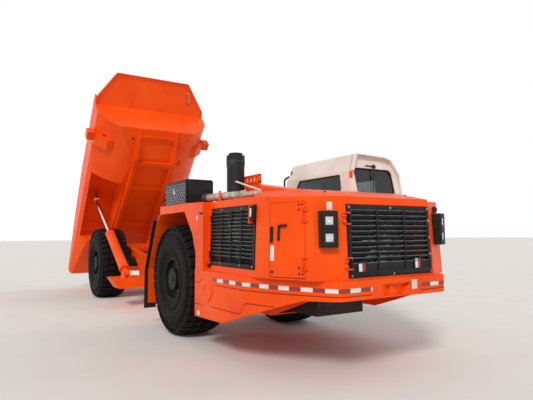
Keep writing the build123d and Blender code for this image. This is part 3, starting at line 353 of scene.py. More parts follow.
def add_turned(bm, profile, sides, place, axis="Y"):
    """A closed profile of (along the axis, radius) points turned about an axis through place."""
    rings = []
    for i in range(sides):
        angle = 2 * math.pi * i / sides
        c, s = math.cos(angle), math.sin(angle)
        ring = []
        for along, radius in profile:
            offset = {"Y": (radius * c, along, radius * s), "Z": (radius * c, radius * s, along),
                      "X": (along, radius * c, radius * s)}[axis]
            ring.append(bm.verts.new(Vector(place) + Vector(offset)))
        rings.append(ring)
    count = len(profile)
    for i in range(sides):
        first, second = rings[i], rings[(i + 1) % sides]
        for j in range(count):
            k = (j + 1) % count
            bm.faces.new((first[j], first[k], second[k], second[j]))


def piece(name, body, material, build, smooth_deg=35, replaces=()):
    """A mesh object that build fills; it rides on a body and takes the given finish."""
    mesh = bpy.data.meshes.new(name)
    bm = bmesh.new()
    build(bm)
    bmesh.ops.recalc_face_normals(bm, faces=bm.faces)
    bm.to_mesh(mesh)
    bm.free()
    obj = bpy.data.objects.new(name, mesh)
    bpy.context.scene.collection.objects.link(obj)
    mesh.materials.append(material)
    mesh.shade_smooth()
    mesh.set_sharp_from_angle(angle=math.radians(smooth_deg))
    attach(obj, body)
    if replaces:
        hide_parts(*replaces)
    return obj


# Tyres
WHEELS = ("front_left", "front_right", "rear_left", "rear_right")
TYRE_LUGS = 36
LUG_GAP = 0.24  # the groove's share of a lug's pitch
TREAD_DEPTH = 0.055
CARCASS_SIDES = 96


def tyre_profile(inner_y, outer_y, radius, side):
    """The carcass section, from bead to bead, as points along the axle and out from it."""
    width = outer_y - inner_y
    bead = 0.385
    tread_r = radius - TREAD_DEPTH
    half = [(0.06, bead), (0.035, bead + 0.035), (0.012, bead + 0.13), (0.0, bead + 0.27), (0.004, bead + 0.37),
            (0.022, bead + 0.45), (0.05, tread_r - 0.035), (0.11, tread_r), (width / 2, tread_r + 0.008)]
    low = [(inner_y + y, r) for y, r in half]
    high = [(outer_y - y, r) for y, r in reversed(half[:-1])]
    return low + high


def tread_block(bm, place, radius, y0, y1, angle0, angle1, skew, drop):
    """One rubber block; its far side is set round by skew, and its shoulder side is drop lower."""
    root = radius - TREAD_DEPTH - 0.012
    corners = []
    for r, inset in ((root, -0.006), (radius - 0.012, 0.0), (radius, 0.012)):
        ring = []
        for y, shift, lower in ((y0, 0.0, 0.0), (y1, skew, drop)):
            for angle, sign in ((angle0, 1), (angle1, -1)):
                turn = angle + shift + sign * inset / radius
                out = r - lower * (1 if r > root else 0.6)
                y_in = y + (inset if y == min(y0, y1) else -inset)
                ring.append(Vector(place) + Vector((out * math.cos(turn), y_in, out * math.sin(turn))))
        corners.append([bm.verts.new(ring[i]) for i in (0, 1, 3, 2)])
    for lower, upper in zip(corners, corners[1:]):
        for i in range(4):
            j = (i + 1) % 4
            bm.faces.new((lower[i], lower[j], upper[j], upper[i]))
    bm.faces.new(corners[-1])
    bm.faces.new(list(reversed(corners[0])))


def build_tyre(corner):
    low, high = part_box(f"tyre_{corner}")
    centre = (Vector(low) + Vector(high)) / 2
    radius = (high[2] - low[2]) / 2
    half = (high[1] - low[1]) / 2
    place = Vector((centre.x, centre.y, centre.z))
    pitch = 2 * math.pi / TYRE_LUGS

    def build(bm):
        add_turned(bm, tyre_profile(-half, half, radius, 1), CARCASS_SIDES, place)
        for i in range(TYRE_LUGS):
            start = i * pitch
            stop = start + pitch * (1 - LUG_GAP)
            # Columns from the middle out: zigzag centre blocks, then shoulders that fall away
            for side in (-1, 1):
                turn = 0.5 * pitch if side > 0 else 0.0
                tread_block(bm, place, radius, side * 0.012, side * 0.17, start + turn, stop + turn, side * 0.012, 0.0)
                tread_block(bm, place, radius, side * 0.19, side * (half - 0.028), start + turn + side * 0.016,
                            stop + turn + side * 0.016, side * 0.03, 0.035)
    piece(f"rock_tyre_{corner}", f"wheel_{corner}", RUBBER, build, 32, (f"tyre_{corner}",))


# Places on the front unit's faces
LEAN = 0.045 / 1.06  # how far the body's faces lean in for each metre up
BODY_LOW_Z = 1.24
SIDE_Y = 1.42
FACE_X = 3.975


def face(place, out, up=(0, 0, 1)):
    """The frame of a spot on a face: x across it, y out of it and z up along it."""
    out = Vector(out).normalized()
    up = Vector(up)
    up = (up - out * up.dot(out)).normalized()
    turn = Matrix((out.cross(up), out, up)).transposed().to_4x4()
    return Matrix.Translation(at(*place)) @ turn


def on_side(x, z, proud=0.0):
    """On the right side of the body."""
    return face((x, LEAN * (z - BODY_LOW_Z) - SIDE_Y - proud, z), (0, -1, LEAN))


def on_front(y, z, proud=0.0):
    return face((FACE_X - LEAN * (z - BODY_LOW_Z) + proud, y, z), (1, 0, LEAN))


def on_oblique(first, second, along, z, proud, side=-1):
    """On a panel that runs between two plan points, at a length along it; side -1 is the truck's right."""
    x0, y0 = first
    x1, y1 = second
    run = math.hypot(x1 - x0, y1 - y0)
    ux, uy = (x1 - x0) / run, (y1 - y0) / run
    lean = LEAN * (z - BODY_LOW_Z)
    x = x0 + ux * along + uy * proud - lean
    y = y0 + uy * along - ux * proud + lean
    out = Vector((uy, -ux, (uy + ux) * LEAN))
    if side > 0:
        y = -y
        out.y = -out.y
    return face((x, y, z), out)


def on_door(along, z, proud=0.0):
    """On the side door's panel."""
    return on_oblique((3.22, -1.385), (3.82, -1.15), along, z, proud)


def on_lamp_panel(along, z, proud=0.0, side=-1):
    """On the corner panel that carries a lamp cluster."""
    return on_oblique((3.82, -1.15), (3.975, -0.78), along, z, proud, side)


# Small shapes on a face
def add_plate(bm, frame_at, width, height, thick, bevel=0.0, shift=(0.0, 0.0, 0.0)):
    """A plate on a face: its width across, its height up and its thickness outwards."""
    x, y, z = shift
    add_box(bm, (x - width / 2, y, z - height / 2), (x + width / 2, y + thick, z + height / 2), frame_at, bevel)


def add_disc(bm, frame_at, radius, thick, sides=20, shift=(0.0, 0.0, 0.0), end_radius=None):
    foot = frame_at @ Vector(shift)
    tip = frame_at @ (Vector(shift) + Vector((0, thick, 0)))
    add_rod(bm, foot, tip, radius, sides, end_radius)


def add_bolt(bm, frame_at, radius=0.014, shift=(0.0, 0.0, 0.0)):
    """A hexagon head on its washer."""
    add_disc(bm, frame_at, radius * 1.5, 0.004, 12, shift)
    add_disc(bm, frame_at, radius, 0.014, 6, shift)


def add_tube(bm, points, radius, sides=10):
    """A bent tube through points, with its corners rounded over."""
    path = [Vector(p) for p in points]
    rounded = [path[0]]
    for before, here, after in zip(path, path[1:], path[2:]):
        cut = min(radius * 2.5, (here - before).length * 0.45, (after - here).length * 0.45)
        first = here + (before - here).normalized() * cut
        last = here + (after - here).normalized() * cut
        for i in range(5):
            t = i / 4
            rounded.append(first * (1 - t) ** 2 + here * 2 * t * (1 - t) + last * t ** 2)
    rounded.append(path[-1])
    rings = []
    side_way = None
    for i, point in enumerate(rounded):
        ahead = (rounded[min(i + 1, len(rounded) - 1)] - rounded[max(i - 1, 0)]).normalized()
        if side_way is None:
            side_way = ahead.orthogonal().normalized()
        side_way = (side_way - ahead * side_way.dot(ahead)).normalized()
        other = ahead.cross(side_way)
        rings.append([bm.verts.new(point + radius * (math.cos(a) * side_way + math.sin(a) * other))
                      for a in (2 * math.pi * k / sides for k in range(sides))])
    for first, second in zip(rings, rings[1:]):
        for k in range(sides):
            bm.faces.new((first[k], first[(k + 1) % sides], second[(k + 1) % sides], second[k]))
    bm.faces.new(list(reversed(rings[0])))
    bm.faces.new(rings[-1])


def add_prism(bm, outline, frame_at, depth):
    """A flat outline of (across, up) points, from a face outwards."""
    rings = [[bm.verts.new(frame_at @ Vector((x, y, z))) for x, z in outline] for y in (0.0, depth)]
    count = len(outline)
    for i in range(count):
        j = (i + 1) % count
        bm.faces.new((rings[0][i], rings[0][j], rings[1][j], rings[1][i]))
    bm.faces.new(rings[1])
    bm.faces.new(list(reversed(rings[0])))


# Reflective tape round the skirt and bumper, and painted shade in the skirt's pressed grooves
SKIRT_LINE = ((1.21, -1.51), (2.0, -1.50), (2.7, -1.44), (3.35, -1.26), (3.96, -0.97), (4.04, -0.89), (4.04, 0.89),
              (3.96, 0.97), (3.35, 1.26), (2.7, 1.44), (2.0, 1.50), (1.21, 1.51))
TAPE_Z = 1.129
TAPE_HEIGHT = 0.05
TAPE_PIECE = 0.163


def skirt_stretch(start, stop):
    """The plan points of the skirt's face between two lengths from its right rear end, with its bends."""
    points = []
    length = 0.0
    for a, b in zip(SKIRT_LINE, SKIRT_LINE[1:]):
        a, b = Vector(a), Vector(b)
        run = (b - a).length
        for target in (start, stop):
            if length <= target < length + run:
                points.append((target, a + (b - a) * ((target - length) / run), (b - a) / run))
        if start < length + run < stop:
            points.append((length + run, b, (b - a) / run))
        length += run
    points.sort(key=lambda item: item[0])
    return points


def add_band(bm, start, stop, z_start, z_stop, height, proud):
    """A thin band on the skirt between two lengths along it."""
    rows = []
    for length, point, way in skirt_stretch(start, stop):
        share = (length - start) / (stop - start)
        z = z_start + (z_stop - z_start) * share
        out = Vector((way.y, -way.x))
        row = []
        for lift in (-0.001, proud):
            spot = point + out * lift
            row += [bm.verts.new(at(spot.x, spot.y, z - height / 2)), bm.verts.new(at(spot.x, spot.y, z + height / 2))]
        rows.append(row)
    for first, second in zip(rows, rows[1:]):
        for a, b in ((2, 3), (0, 1), (1, 3), (0, 2)):
            bm.faces.new((first[a], first[b], second[b], second[a]))
    for row in (rows[0], rows[-1]):
        bm.faces.new((row[0], row[1], row[3], row[2]))


def tape_skirt():
    """Red and white reflective tape on the right skirt, round the bumper's corner, and at the bumper's left end."""
    runs = ((0.624, 17, 0), (4.30, 3, 0), (4.95, 13, 1))
    for name, material, rest in (("tape_red", TAPE_RED, 0), ("tape_white", TAPE_WHITE, 1)):
        def build(bm):
            for start, count, first in runs:
                for i in range(count):
                    if (i + first) % 2 == rest:
                        add_band(bm, start + i * TAPE_PIECE, start + (i + 1) * TAPE_PIECE, TAPE_Z, TAPE_Z, TAPE_HEIGHT, 0.003)
            if rest:
                add_band(bm, 3.396, 3.418, TAPE_Z, TAPE_Z, TAPE_HEIGHT, 0.003)
        piece(name, "front_unit", material, build, 20)


def paint_crease_shade():
    """The skirt's pressed lines as thin darker orange bands, painted shade in their creases: one under the tape, and
    one that steps up towards the front.
    """
    lines = (((0.70, 1.058), (1.493, 1.05), (2.167, 1.056), (2.843, 1.06), (2.956, 1.06), (3.41, 1.06)),
             ((4.28, 1.06), (4.74, 1.066)),
             ((0.60, 0.73), (1.02, 0.728), (1.34, 0.722), (1.39, 0.745), (1.44, 0.80), (1.48, 0.862), (1.52, 0.882),
              (2.02, 0.884)),
             ((0.02, 1.045), (0.12, 1.05), (0.20, 1.075), (0.27, 1.12)), ((0.02, 0.715), (0.28, 0.722)))

    def build(bm):
        for line in lines:
            for (s0, z0), (s1, z1) in zip(line, line[1:]):
                add_band(bm, s0 - 0.003, s1 + 0.003, z0, z1, 0.014, 0.0012)
    piece("skirt_crease_shade", "front_unit", CREASE_SHADE, build, 20)


def hook_recess():
    """The tow hook's wedge in the bumper's recess, and the flap that closes its left end."""
    def build(bm):
        corner = face((3.981, 0.0, 1.03), (1, 0, 0))
        # Across runs to the truck's right, so the left end of the recess has negative places
        add_prism(bm, [(-0.244, 0.001), (-0.08, 0.001), (-0.244, 0.139)], corner, 0.057)
        add_prism(bm, [(0.13, 0.001), (-0.02, 0.001), (0.05, 0.10), (0.09, 0.118)], corner, 0.034)
    piece("hook_wedge", "front_unit", ORANGE, build)


# Grilles
FRONT_GRILLE = (-0.735, 0.735, 1.262, 2.15)  # right and left edge, low and high edge
SIDE_GRILLE = (1.56, 2.93, 1.33, 2.19)  # rear and front edge, low and high edge


def dress_front_grille():
    """Bolted rails, slat lips, tie bars, hinge tabs and the two reflector windows of the front grille."""
    right, left, low, high = FRONT_GRILLE
    proud = 0.011

    def rails(bm):
        add_plate(bm, on_front((right + left) / 2, low + 0.045, proud), left - right - 0.02, 0.06, 0.006, 0.002)
        add_plate(bm, on_front((right + left) / 2, low + 0.12, proud - 0.02), left - right - 0.1, 0.1, 0.012)
        for y in (-0.24, 0.24):
            add_plate(bm, on_front(y, (low + high) / 2, 0.006), 0.02, high - low - 0.1, 0.008)
    piece("front_grille_rails", "front_grille_door", BLACK, rails)

    def lips(bm):
        pitch = (high - low - 0.11) / 12
        for i in range(1, 12):
            z = low + 0.055 + (i + 0.86) * pitch
            add_plate(bm, on_front((right + left) / 2, z, -0.004), left - right - 0.11, 0.012, 0.012, 0.003)
    piece("front_grille_lips", "front_grille_door", SLAT_EDGE, lips)

    def windows(bm):
        for y, z in ((-0.52, low + 0.12), (0.47, low + 0.14)):
            spot = on_front(y, z, -0.006)
            for wide, high_part, shift in ((0.15, 0.018, (0, 0, 0.07)), (0.15, 0.018, (0, 0, -0.07)),
                                           (0.018, 0.15, (-0.07, 0, 0)), (0.018, 0.15, (0.07, 0, 0))):
                add_plate(bm, spot, wide, high_part, 0.02, 0.0, shift)
    piece("reflector_frames", "front_grille_door", PLASTIC, windows)

    def red_parts(bm):
        for y, z in ((-0.52, low + 0.12), (0.47, low + 0.14)):
            add_plate(bm, on_front(y, z, 0.0), 0.06, 0.12, 0.006, 0.0, (-0.03, 0, 0))
    piece("reflectors_red", "front_grille_door", TAPE_RED, red_parts)

    def white_parts(bm):
        for y, z in ((-0.52, low + 0.12), (0.47, low + 0.14)):
            add_plate(bm, on_front(y, z, 0.0), 0.06, 0.12, 0.006, 0.0, (0.03, 0, 0))
    piece("reflectors_white", "front_grille_door", TAPE_WHITE, white_parts)

    def bolts(bm):
        for y in (right + 0.035, (right + left) / 2, left - 0.035):
            for z in (low + 0.03, high - 0.03):
                add_bolt(bm, on_front(y, z, proud), 0.012)
        for z in (1.52, 1.74, 1.96):
            add_bolt(bm, on_front(left - 0.03, z, proud), 0.012)
    piece("front_grille_bolts", "front_grille_door", ZINC, bolts)

    def edges(bm):
        add_plate(bm, on_front(left + 0.012, (low + high) / 2, 0.0), 0.014, high - low, 0.014, 0.003)
        add_plate(bm, on_front((right + left) / 2, high + 0.012, -0.004), left - right, 0.014, 0.012, 0.003)
        for z in (1.40, 1.47, 1.94, 2.01):
            add_plate(bm, on_front(right - 0.035, z, 0.0), 0.06, 0.028, 0.02, 0.004)
    piece("front_grille_edge", "front_unit", ORANGE, edges)

    def shroud(bm):
        place = at(3.76, 0.0, 1.70)
        for radius in (0.20, 0.30):
            add_turned(bm, [(0.10, radius - 0.006), (0.10, radius + 0.006), (0.112, radius + 0.006),
                            (0.112, radius - 0.006)], 40, place, "X")
        for i in range(4):
            angle = math.pi * (i + 0.5) / 2
            tip = Vector((0, math.cos(angle), math.sin(angle)))
            add_rod(bm, place + Vector((0.106, 0, 0)) + tip * 0.05, place + Vector((0.106, 0, 0)) + tip * 0.36, 0.008, 8)
        add_rod(bm, place + Vector((0.07, 0, 0)), place + Vector((0.122, 0, 0)), 0.07, 24)
    piece("fan_guard", "front_unit", ZINC, shroud)


def dress_side_grille():
    """Rails, slat lips, tie bars and bolts of the side grille, and the lamp box at its front top corner."""
    rear, front, low, high = SIDE_GRILLE
    proud = 0.011

    def rails(bm):
        add_plate(bm, on_side((rear + front) / 2, low + 0.04, proud), front - rear - 0.02, 0.05, 0.006, 0.002)
        for x in (1.945, 2.245, 2.545):
            add_plate(bm, on_side(x, (low + high) / 2, 0.006), 0.02, high - low - 0.1, 0.008)
        add_plate(bm, on_side(1.565, low - 0.012, 0.0), 0.10, 0.05, 0.02, 0.004)
    piece("side_grille_rails", "side_grille_door", BLACK, rails)

    def lips(bm):
        pitch = (high - low - 0.11) / 14
        for i in range(1, 14):
            z = low + 0.055 + (i + 0.86) * pitch
            add_plate(bm, on_side((rear + front) / 2, z, -0.004), front - rear - 0.11, 0.010, 0.012, 0.003)
    piece("side_grille_lips", "side_grille_door", SLAT_EDGE, lips)

    def lamp_bracket(bm):
        add_plate(bm, on_side(2.825, 2.06, 0.012), 0.07, 0.25, 0.012, 0.003)
        add_plate(bm, on_side(2.865, 2.06, 0.012), 0.012, 0.25, 0.07, 0.003)
    piece("side_lamp_bracket", "side_grille_door", ORANGE, lamp_bracket)

    def lamp_box(bm):
        add_plate(bm, on_side(2.905, 2.07, 0.012), 0.06, 0.20, 0.065, 0.006)
    piece("side_lamp_box", "side_grille_door", PLASTIC, lamp_box)

    def lamp_face(bm):
        add_plate(bm, on_side(2.908, 2.08, 0.077), 0.036, 0.11, 0.004, 0.002)
    piece("side_lamp_face", "side_grille_door", LENS, lamp_face)

    def bolts(bm):
        for x in (rear + 0.04, 1.945, 2.545, front - 0.04):
            for z, lift in ((low + 0.04, proud + 0.006), (high - 0.04, 0.01)):
                add_bolt(bm, on_side(x, z, lift), 0.011)
    piece("side_grille_bolts", "side_grille_door", ZINC, bolts)


# The side door, the lamps and the body's small things
def dress_side_door():
    """Handle, latch, hinge bolts and blank plates of the side door."""
    def handle(bm):
        add_plate(bm, on_door(0.155, 1.81, 0.001), 0.028, 0.19, 0.02, 0.004)
        add_plate(bm, on_door(0.225, 1.90, 0.001), 0.10, 0.03, 0.03, 0.006)
        add_plate(bm, on_door(0.045, 1.79, 0.001), 0.04, 0.20, 0.016, 0.004)
        add_plate(bm, on_door(0.045, 1.86, 0.016), 0.03, 0.05, 0.014, 0.004)
    piece("door_latch", "engine_door", PLASTIC, handle)

    def bolts(bm):
        for z in (1.32, 1.39, 2.09, 2.155):
            for along in (0.45, 0.50):
                add_bolt(bm, on_door(along, z, 0.0), 0.008)
        add_bolt(bm, on_door(0.05, 1.33, 0.0), 0.012)
    piece("door_bolts", "engine_door", BLACK, bolts)

    def plates(bm):
        add_plate(bm, on_door(0.05, 1.56, 0.0), 0.06, 0.19, 0.0015)
    piece("door_plates", "engine_door", BLANK, plates)


def lamp_face(z, side):
    """The front of a corner cluster's lamp glass."""
    turn = math.radians(23)
    x = 3.905 + 0.058 * math.cos(turn)
    y = -0.985 - 0.058 * math.sin(turn)
    out = Vector((math.cos(turn), -math.sin(turn), 0))
    if side > 0:
        y = -y
        out.y = -out.y
    return face((x, y, z), out)


def dress_lamps():
    """Two square lamps in each corner cluster, in black frames, and the round marker lamp on the left."""
    def frames(bm):
        for side in (-1, 1):
            for z in (1.75, 1.95):
                spot = lamp_face(z, side)
                for wide, tall, shift in ((0.176, 0.05, (0, 0, 0.073)), (0.176, 0.05, (0, 0, -0.073)),
                                          (0.04, 0.10, (-0.067, 0, 0)), (0.04, 0.10, (0.067, 0, 0))):
                    add_plate(bm, spot, wide, tall, 0.008, 0.002, shift)
    piece("lamp_frames", "front_unit", PLASTIC, frames)

    def reflectors(bm):
        for side in (-1, 1):
            for z in (1.75, 1.95):
                for dx in (-0.024, 0.024):
                    for dz in (-0.026, 0.026):
                        add_disc(bm, lamp_face(z, side), 0.014, 0.003, 14, (dx, 0, dz), 0.02)
    piece("lamp_cups", "front_unit", CHROME, reflectors)

    def marker(bm):
        spot = face((3.855, 0.96, 2.12), (1, 0, 0))
        add_disc(bm, spot, 0.045, 0.03, 20, (0, 0, 0), 0.04)
    piece("marker_lens", "front_unit", PLASTIC, marker)


def fix_blank_plates():
    """Blank cream plates on the corner panel, the bumper, the skirt and the wheel arch."""
    def build(bm):
        add_plate(bm, on_lamp_panel(0.205, 2.13), 0.07, 0.10, 0.0015)
        add_plate(bm, face((4.04, 0.315, 1.143), (1, 0, 0)), 0.10, 0.12, 0.0015)
        add_plate(bm, face((1.35, -1.51, 0.585), (0, -1, 0)), 0.09, 0.07, 0.0015)
        add_plate(bm, face((1.267, -1.50, 2.055), (0, -1, 0)), 0.045, 0.075, 0.0015)
    piece("blank_plates", "front_unit", BLANK, build)

    def slot(bm):
        # A black plate where the slot opens: painted shade in the opening
        add_plate(bm, face((1.425, -1.50, 2.125), (0, -1, 0)), 0.12, 0.04, 0.002)
    piece("arch_slot_shade", "front_unit", PLASTIC, slot)


# Hood, exhaust and guarded box
def raise_hood():
    """The bevelled crown at the front of the hood and the raised cover behind it."""
    line = ((2.75, -1.42), (2.97, -1.42), (3.22, -1.385), (3.623, -1.227), (3.82, -1.15), (3.975, -0.78), (3.975, 0.78),
            (3.623, 0.783), (2.75, 0.79))
    crease_z, top_z, peak_x, fall = 2.25, 2.36, 3.47, 0.2066

    def ring(bm, z, pull):
        points = []
        for x, y in line:
            x_in = x if x == line[0][0] else x - pull
            z_in = min(z, top_z - (x_in - peak_x) * fall)
            points.append(bm.verts.new(at(x_in, y - math.copysign(pull, y), z_in)))
        return points

    def build(bm):
        lean = LEAN * (crease_z - BODY_LOW_Z) + 0.002
        rings = [ring(bm, 2.17, lean), ring(bm, crease_z, lean), ring(bm, top_z, lean + 0.11)]
        count = len(line)
        for low, high in zip(rings, rings[1:]):
            for i in range(count):
                j = (i + 1) % count
                bm.faces.new((low[i], low[j], high[j], high[i]))
        bm.faces.new(list(reversed(rings[0])))
        bm.faces.new([rings[2][i] for i in (0, 1, 2, 3, 7, 8)])
        bm.faces.new([rings[2][i] for i in (3, 4, 5, 6, 7)])
        # Across runs to the rear here, so places ahead of the axle are negative
        add_prism(bm, [(-1.83, 2.27), (-2.75, 2.27), (-2.69, 2.45), (-1.88, 2.45)], face((0, -0.49, 0), (0, -1, 0)), 0.46)
    piece("hood_crown", "front_unit", ORANGE, build)


def dress_hood():
    """Slotted rail on the engine cover, blocks beside the lugs, the thin bent rod, hood edge bolts and lug pads."""
    def rail(bm):
        add_prism(bm, [(-1.74, 2.295), (-2.92, 2.295), (-2.90, 2.41), (-2.43, 2.49), (-1.74, 2.60)],
                  face((0.0, -0.50, 0.0), (0, -1, 0)), 0.38)
        for z in (2.57, 2.675):
            add_box(bm, at(1.72, -0.895, z), at(2.18, -0.85, z + 0.03), bevel=0.004)
        for x in (1.72, 1.83, 1.94, 2.05, 2.15):
            add_box(bm, at(x, -0.895, 2.50), at(x + 0.03, -0.85, 2.70), bevel=0.004)
        for y in (-0.45, 0.38):
            add_box(bm, at(2.38, y - 0.04, 2.29), at(2.62, y + 0.04, 2.312), bevel=0.005)
        add_box(bm, at(1.63, -1.298, 2.30), at(1.70, -1.284, 2.47), bevel=0.004)
    piece("hood_fittings", "front_unit", ORANGE, rail)

    def rod(bm):
        add_tube(bm, [at(1.62, -1.09, 2.70), at(1.71, -1.06, 2.63), at(2.49, -1.05, 2.42), at(2.50, -1.05, 2.295)], 0.014)
    piece("bent_rod", "front_unit", CAB_WHITE, rod)

    def rear_handle(bm):
        add_tube(bm, [at(0.81, 0.60, 2.46), at(0.66, 0.60, 2.48), at(0.66, 0.60, 2.84), at(0.81, 0.60, 2.88)], 0.018)
    piece("cab_rear_handle", "front_unit", PLASTIC, rear_handle)

    def knobs(bm):
        for x in (2.95, 3.2, 3.45, 3.7):
            for y in (-0.86, 0.56):
                add_bolt(bm, face((x, y, 2.3605 if x < 3.46 else 2.3605 - (x - 3.47) * 0.206), (0.2 * (x > 3.46), 0, 1), (1, 0, 0)), 0.011)
    piece("hood_knobs", "front_unit", BLACK, knobs)


def dress_exhaust():
    """Clamps and the sooty open tail of the lagged pipe, and the air cleaner's cap and bands."""
    def clamps(bm):
        for x, radius in ((1.13, 0.062), (1.43, 0.062), (1.70, 0.062), (1.98, 0.062), (2.24, 0.062), (2.6, 0.042)):
            profile = [(-0.012, radius - 0.002), (-0.012, radius + 0.006), (0.012, radius + 0.006), (0.012, radius - 0.002)]
            add_turned(bm, profile, 24, at(x, -1.215, 2.40 - (x - 1.08) * 0.0279), "X")
    piece("pipe_clamps", "front_unit", ZINC, clamps)

    def tail(bm):
        add_turned(bm, [(-0.10, 0.06), (-0.10, 0.078), (0.02, 0.078), (0.02, 0.06)], 28, at(1.08, -1.215, 2.40), "X")
    piece("pipe_tail", "front_unit", BLACK, tail)

    def nose(bm):
        add_rod(bm, at(2.28, -1.215, 2.3665), at(2.735, -1.215, 2.3538), 0.042)
        add_box(bm, at(2.58, -1.235, 2.28), at(2.62, -1.195, 2.35))
    piece("pipe_nose", "front_unit", LAGGING, nose)

    def cleaner(bm):
        place = at(1.64, -1.0, 0.0)
        for z, r in ((2.52, 0.143), (2.85, 0.143), (2.93, 0.150)):
            add_turned(bm, [(z, r - 0.006), (z, r), (z + 0.022, r), (z + 0.022, r - 0.006)], 40, place, "Z")
    piece("cleaner_bands", "front_unit", GREY_STEEL, cleaner)

    def badge_boss(bm):
        spot = face((1.64 + 0.145 * 0.7, -1.0 - 0.145 * 0.7, 2.92), (0.7, -0.7, 0))
        add_disc(bm, spot, 0.055, 0.012, 24, (0, 0, 0), 0.045)
        add_disc(bm, spot, 0.018, 0.02, 12)
    piece("cleaner_boss", "front_unit", GREY_STEEL, badge_boss)


def mesh_guard():
    """Woven guard on the box's right face, in its frame, with a rail round the top."""
    x0, x1, z0, z1 = -0.88, 0.16, 2.34, 2.77

    def wires(bm):
        pitch = 0.11
        count = int((x1 - x0 + z1 - z0) / pitch)
        for way in (1, -1):
            for i in range(1, count):
                shift = i * pitch
                # Each wire runs at 45 degrees between the frame's edges
                if way > 0:
                    start = (x0 + max(0.0, shift - (z1 - z0)), z1 - max(0.0, (z1 - z0) - shift))
                    stop = (x0 + min(shift, x1 - x0), z0 + max(0.0, shift - (x1 - x0)))
                else:
                    start = (x1 - max(0.0, shift - (z1 - z0)), z1 - max(0.0, (z1 - z0) - shift))
                    stop = (x1 - min(shift, x1 - x0), z0 + max(0.0, shift - (x1 - x0)))
                add_rod(bm, at(start[0], -1.236, start[1]), at(stop[0], -1.236, stop[1]), 0.011, 6)
    piece("guard_wires", "front_unit", GUARD_WIRE, wires)

    def frame_bars(bm):
        for z in (z0, z1):
            add_box(bm, at(x0 - 0.02, -1.245, z - 0.02), at(x1 + 0.02, -1.228, z + 0.02), bevel=0.003)
        for x in (x0, x1):
            add_box(bm, at(x - 0.02, -1.245, z0), at(x + 0.02, -1.228, z1), bevel=0.003)
        for a, b in (((-0.88, -1.21), (0.16, -1.21)), ((0.16, -1.21), (0.16, -0.72)), ((-0.88, -1.21), (-0.88, -0.72)),
                     ((-0.88, -0.72), (0.16, -0.72))):
            add_rod(bm, at(*a, 2.80), at(*b, 2.80), 0.012, 8)
        add_box(bm, at(0.178, -1.20, 2.35), at(0.19, -0.73, 2.75), bevel=0.004)
    piece("guard_frame", "front_unit", BLACK, frame_bars)

    def plate(bm):
        add_plate(bm, face((-0.42, -1.243, 2.62), (0, -1, 0)), 0.06, 0.12, 0.002)
    piece("guard_plate", "front_unit", BLANK, plate)


# Cab
def rounded(outline, radius, steps=6):
    """A polygon with its corners rounded to a radius."""
    points = []
    count = len(outline)
    for i in range(count):
        before, here, after = (Vector(outline[(i + k) % count]) for k in (-1, 0, 1))
        a = (before - here).normalized()
        b = (after - here).normalized()
        half = a.angle(b) / 2
        cut = radius / math.tan(half)
        centre = here + (a + b).normalized() * (radius / math.sin(half))
        first = here + a * cut - centre
        last = here + b * cut - centre
        for k in range(steps + 1):
            mix = first.lerp(last, k / steps).normalized() * radius
            points.append(centre + mix)
    return points


def shrunk(outline, inset):
    """A convex polygon pulled in by an inset on every side."""
    count = len(outline)
    area = sum(outline[i - 1][0] * outline[i][1] - outline[i][0] * outline[i - 1][1] for i in range(count))
    sign = 1 if area > 0 else -1
    points = []
    for i in range(count):
        before, here, after = (Vector(outline[(i + k) % count]) for k in (-1, 0, 1))
        d0 = (here - before).normalized()
        d1 = (after - here).normalized()
        n0 = Vector((-d0.y, d0.x)) * sign
        n1 = Vector((-d1.y, d1.x)) * sign
        points.append(here + (n0 + n1) * (inset / (1 + n0.dot(n1))))
    return points


def trim_window(name, body, frame_at, outline, radius, depth, steps=6):
    """White corner fillets and a black seal in a window opening; the outline is in the face's own plane."""
    count = len(outline)
    inner = rounded(outline, radius, steps)

    def fillets(bm):
        for i in range(count):
            corner = Vector(outline[i])
            arc = inner[i * (steps + 1):(i + 1) * (steps + 1)]
            add_prism(bm, [tuple(corner)] + [tuple(p) for p in arc], frame_at, depth)
    piece(f"{name}_fillets", body, CAB_WHITE, fillets, 60)

    def seal(bm):
        edge = rounded(shrunk(outline, 0.022), max(radius - 0.022, 0.01), steps)
        rings = [[bm.verts.new(frame_at @ Vector((x, y, z))) for x, z in points]
                 for points, y in ((inner, depth * 0.2), (inner, depth * 0.75), (edge, depth * 0.75), (edge, depth * 0.2))]
        total = len(inner)
        for a, b in zip(rings, rings[1:] + rings[:1]):
            for k in range(total):
                j = (k + 1) % total
                bm.faces.new((a[k], a[j], b[j], b[k]))
    piece(f"{name}_seal", body, STRIP, seal, 60)


SCREEN_LEAN = 0.18 / 0.74  # how far the windscreen's face goes back for each metre up


def on_screen(y, z, proud=0.0):
    out = Vector((1, 0, SCREEN_LEAN)).normalized()
    place = Vector((2.67 - SCREEN_LEAN * (z - 2.40), y, z)) + out * proud
    return face(place, out)


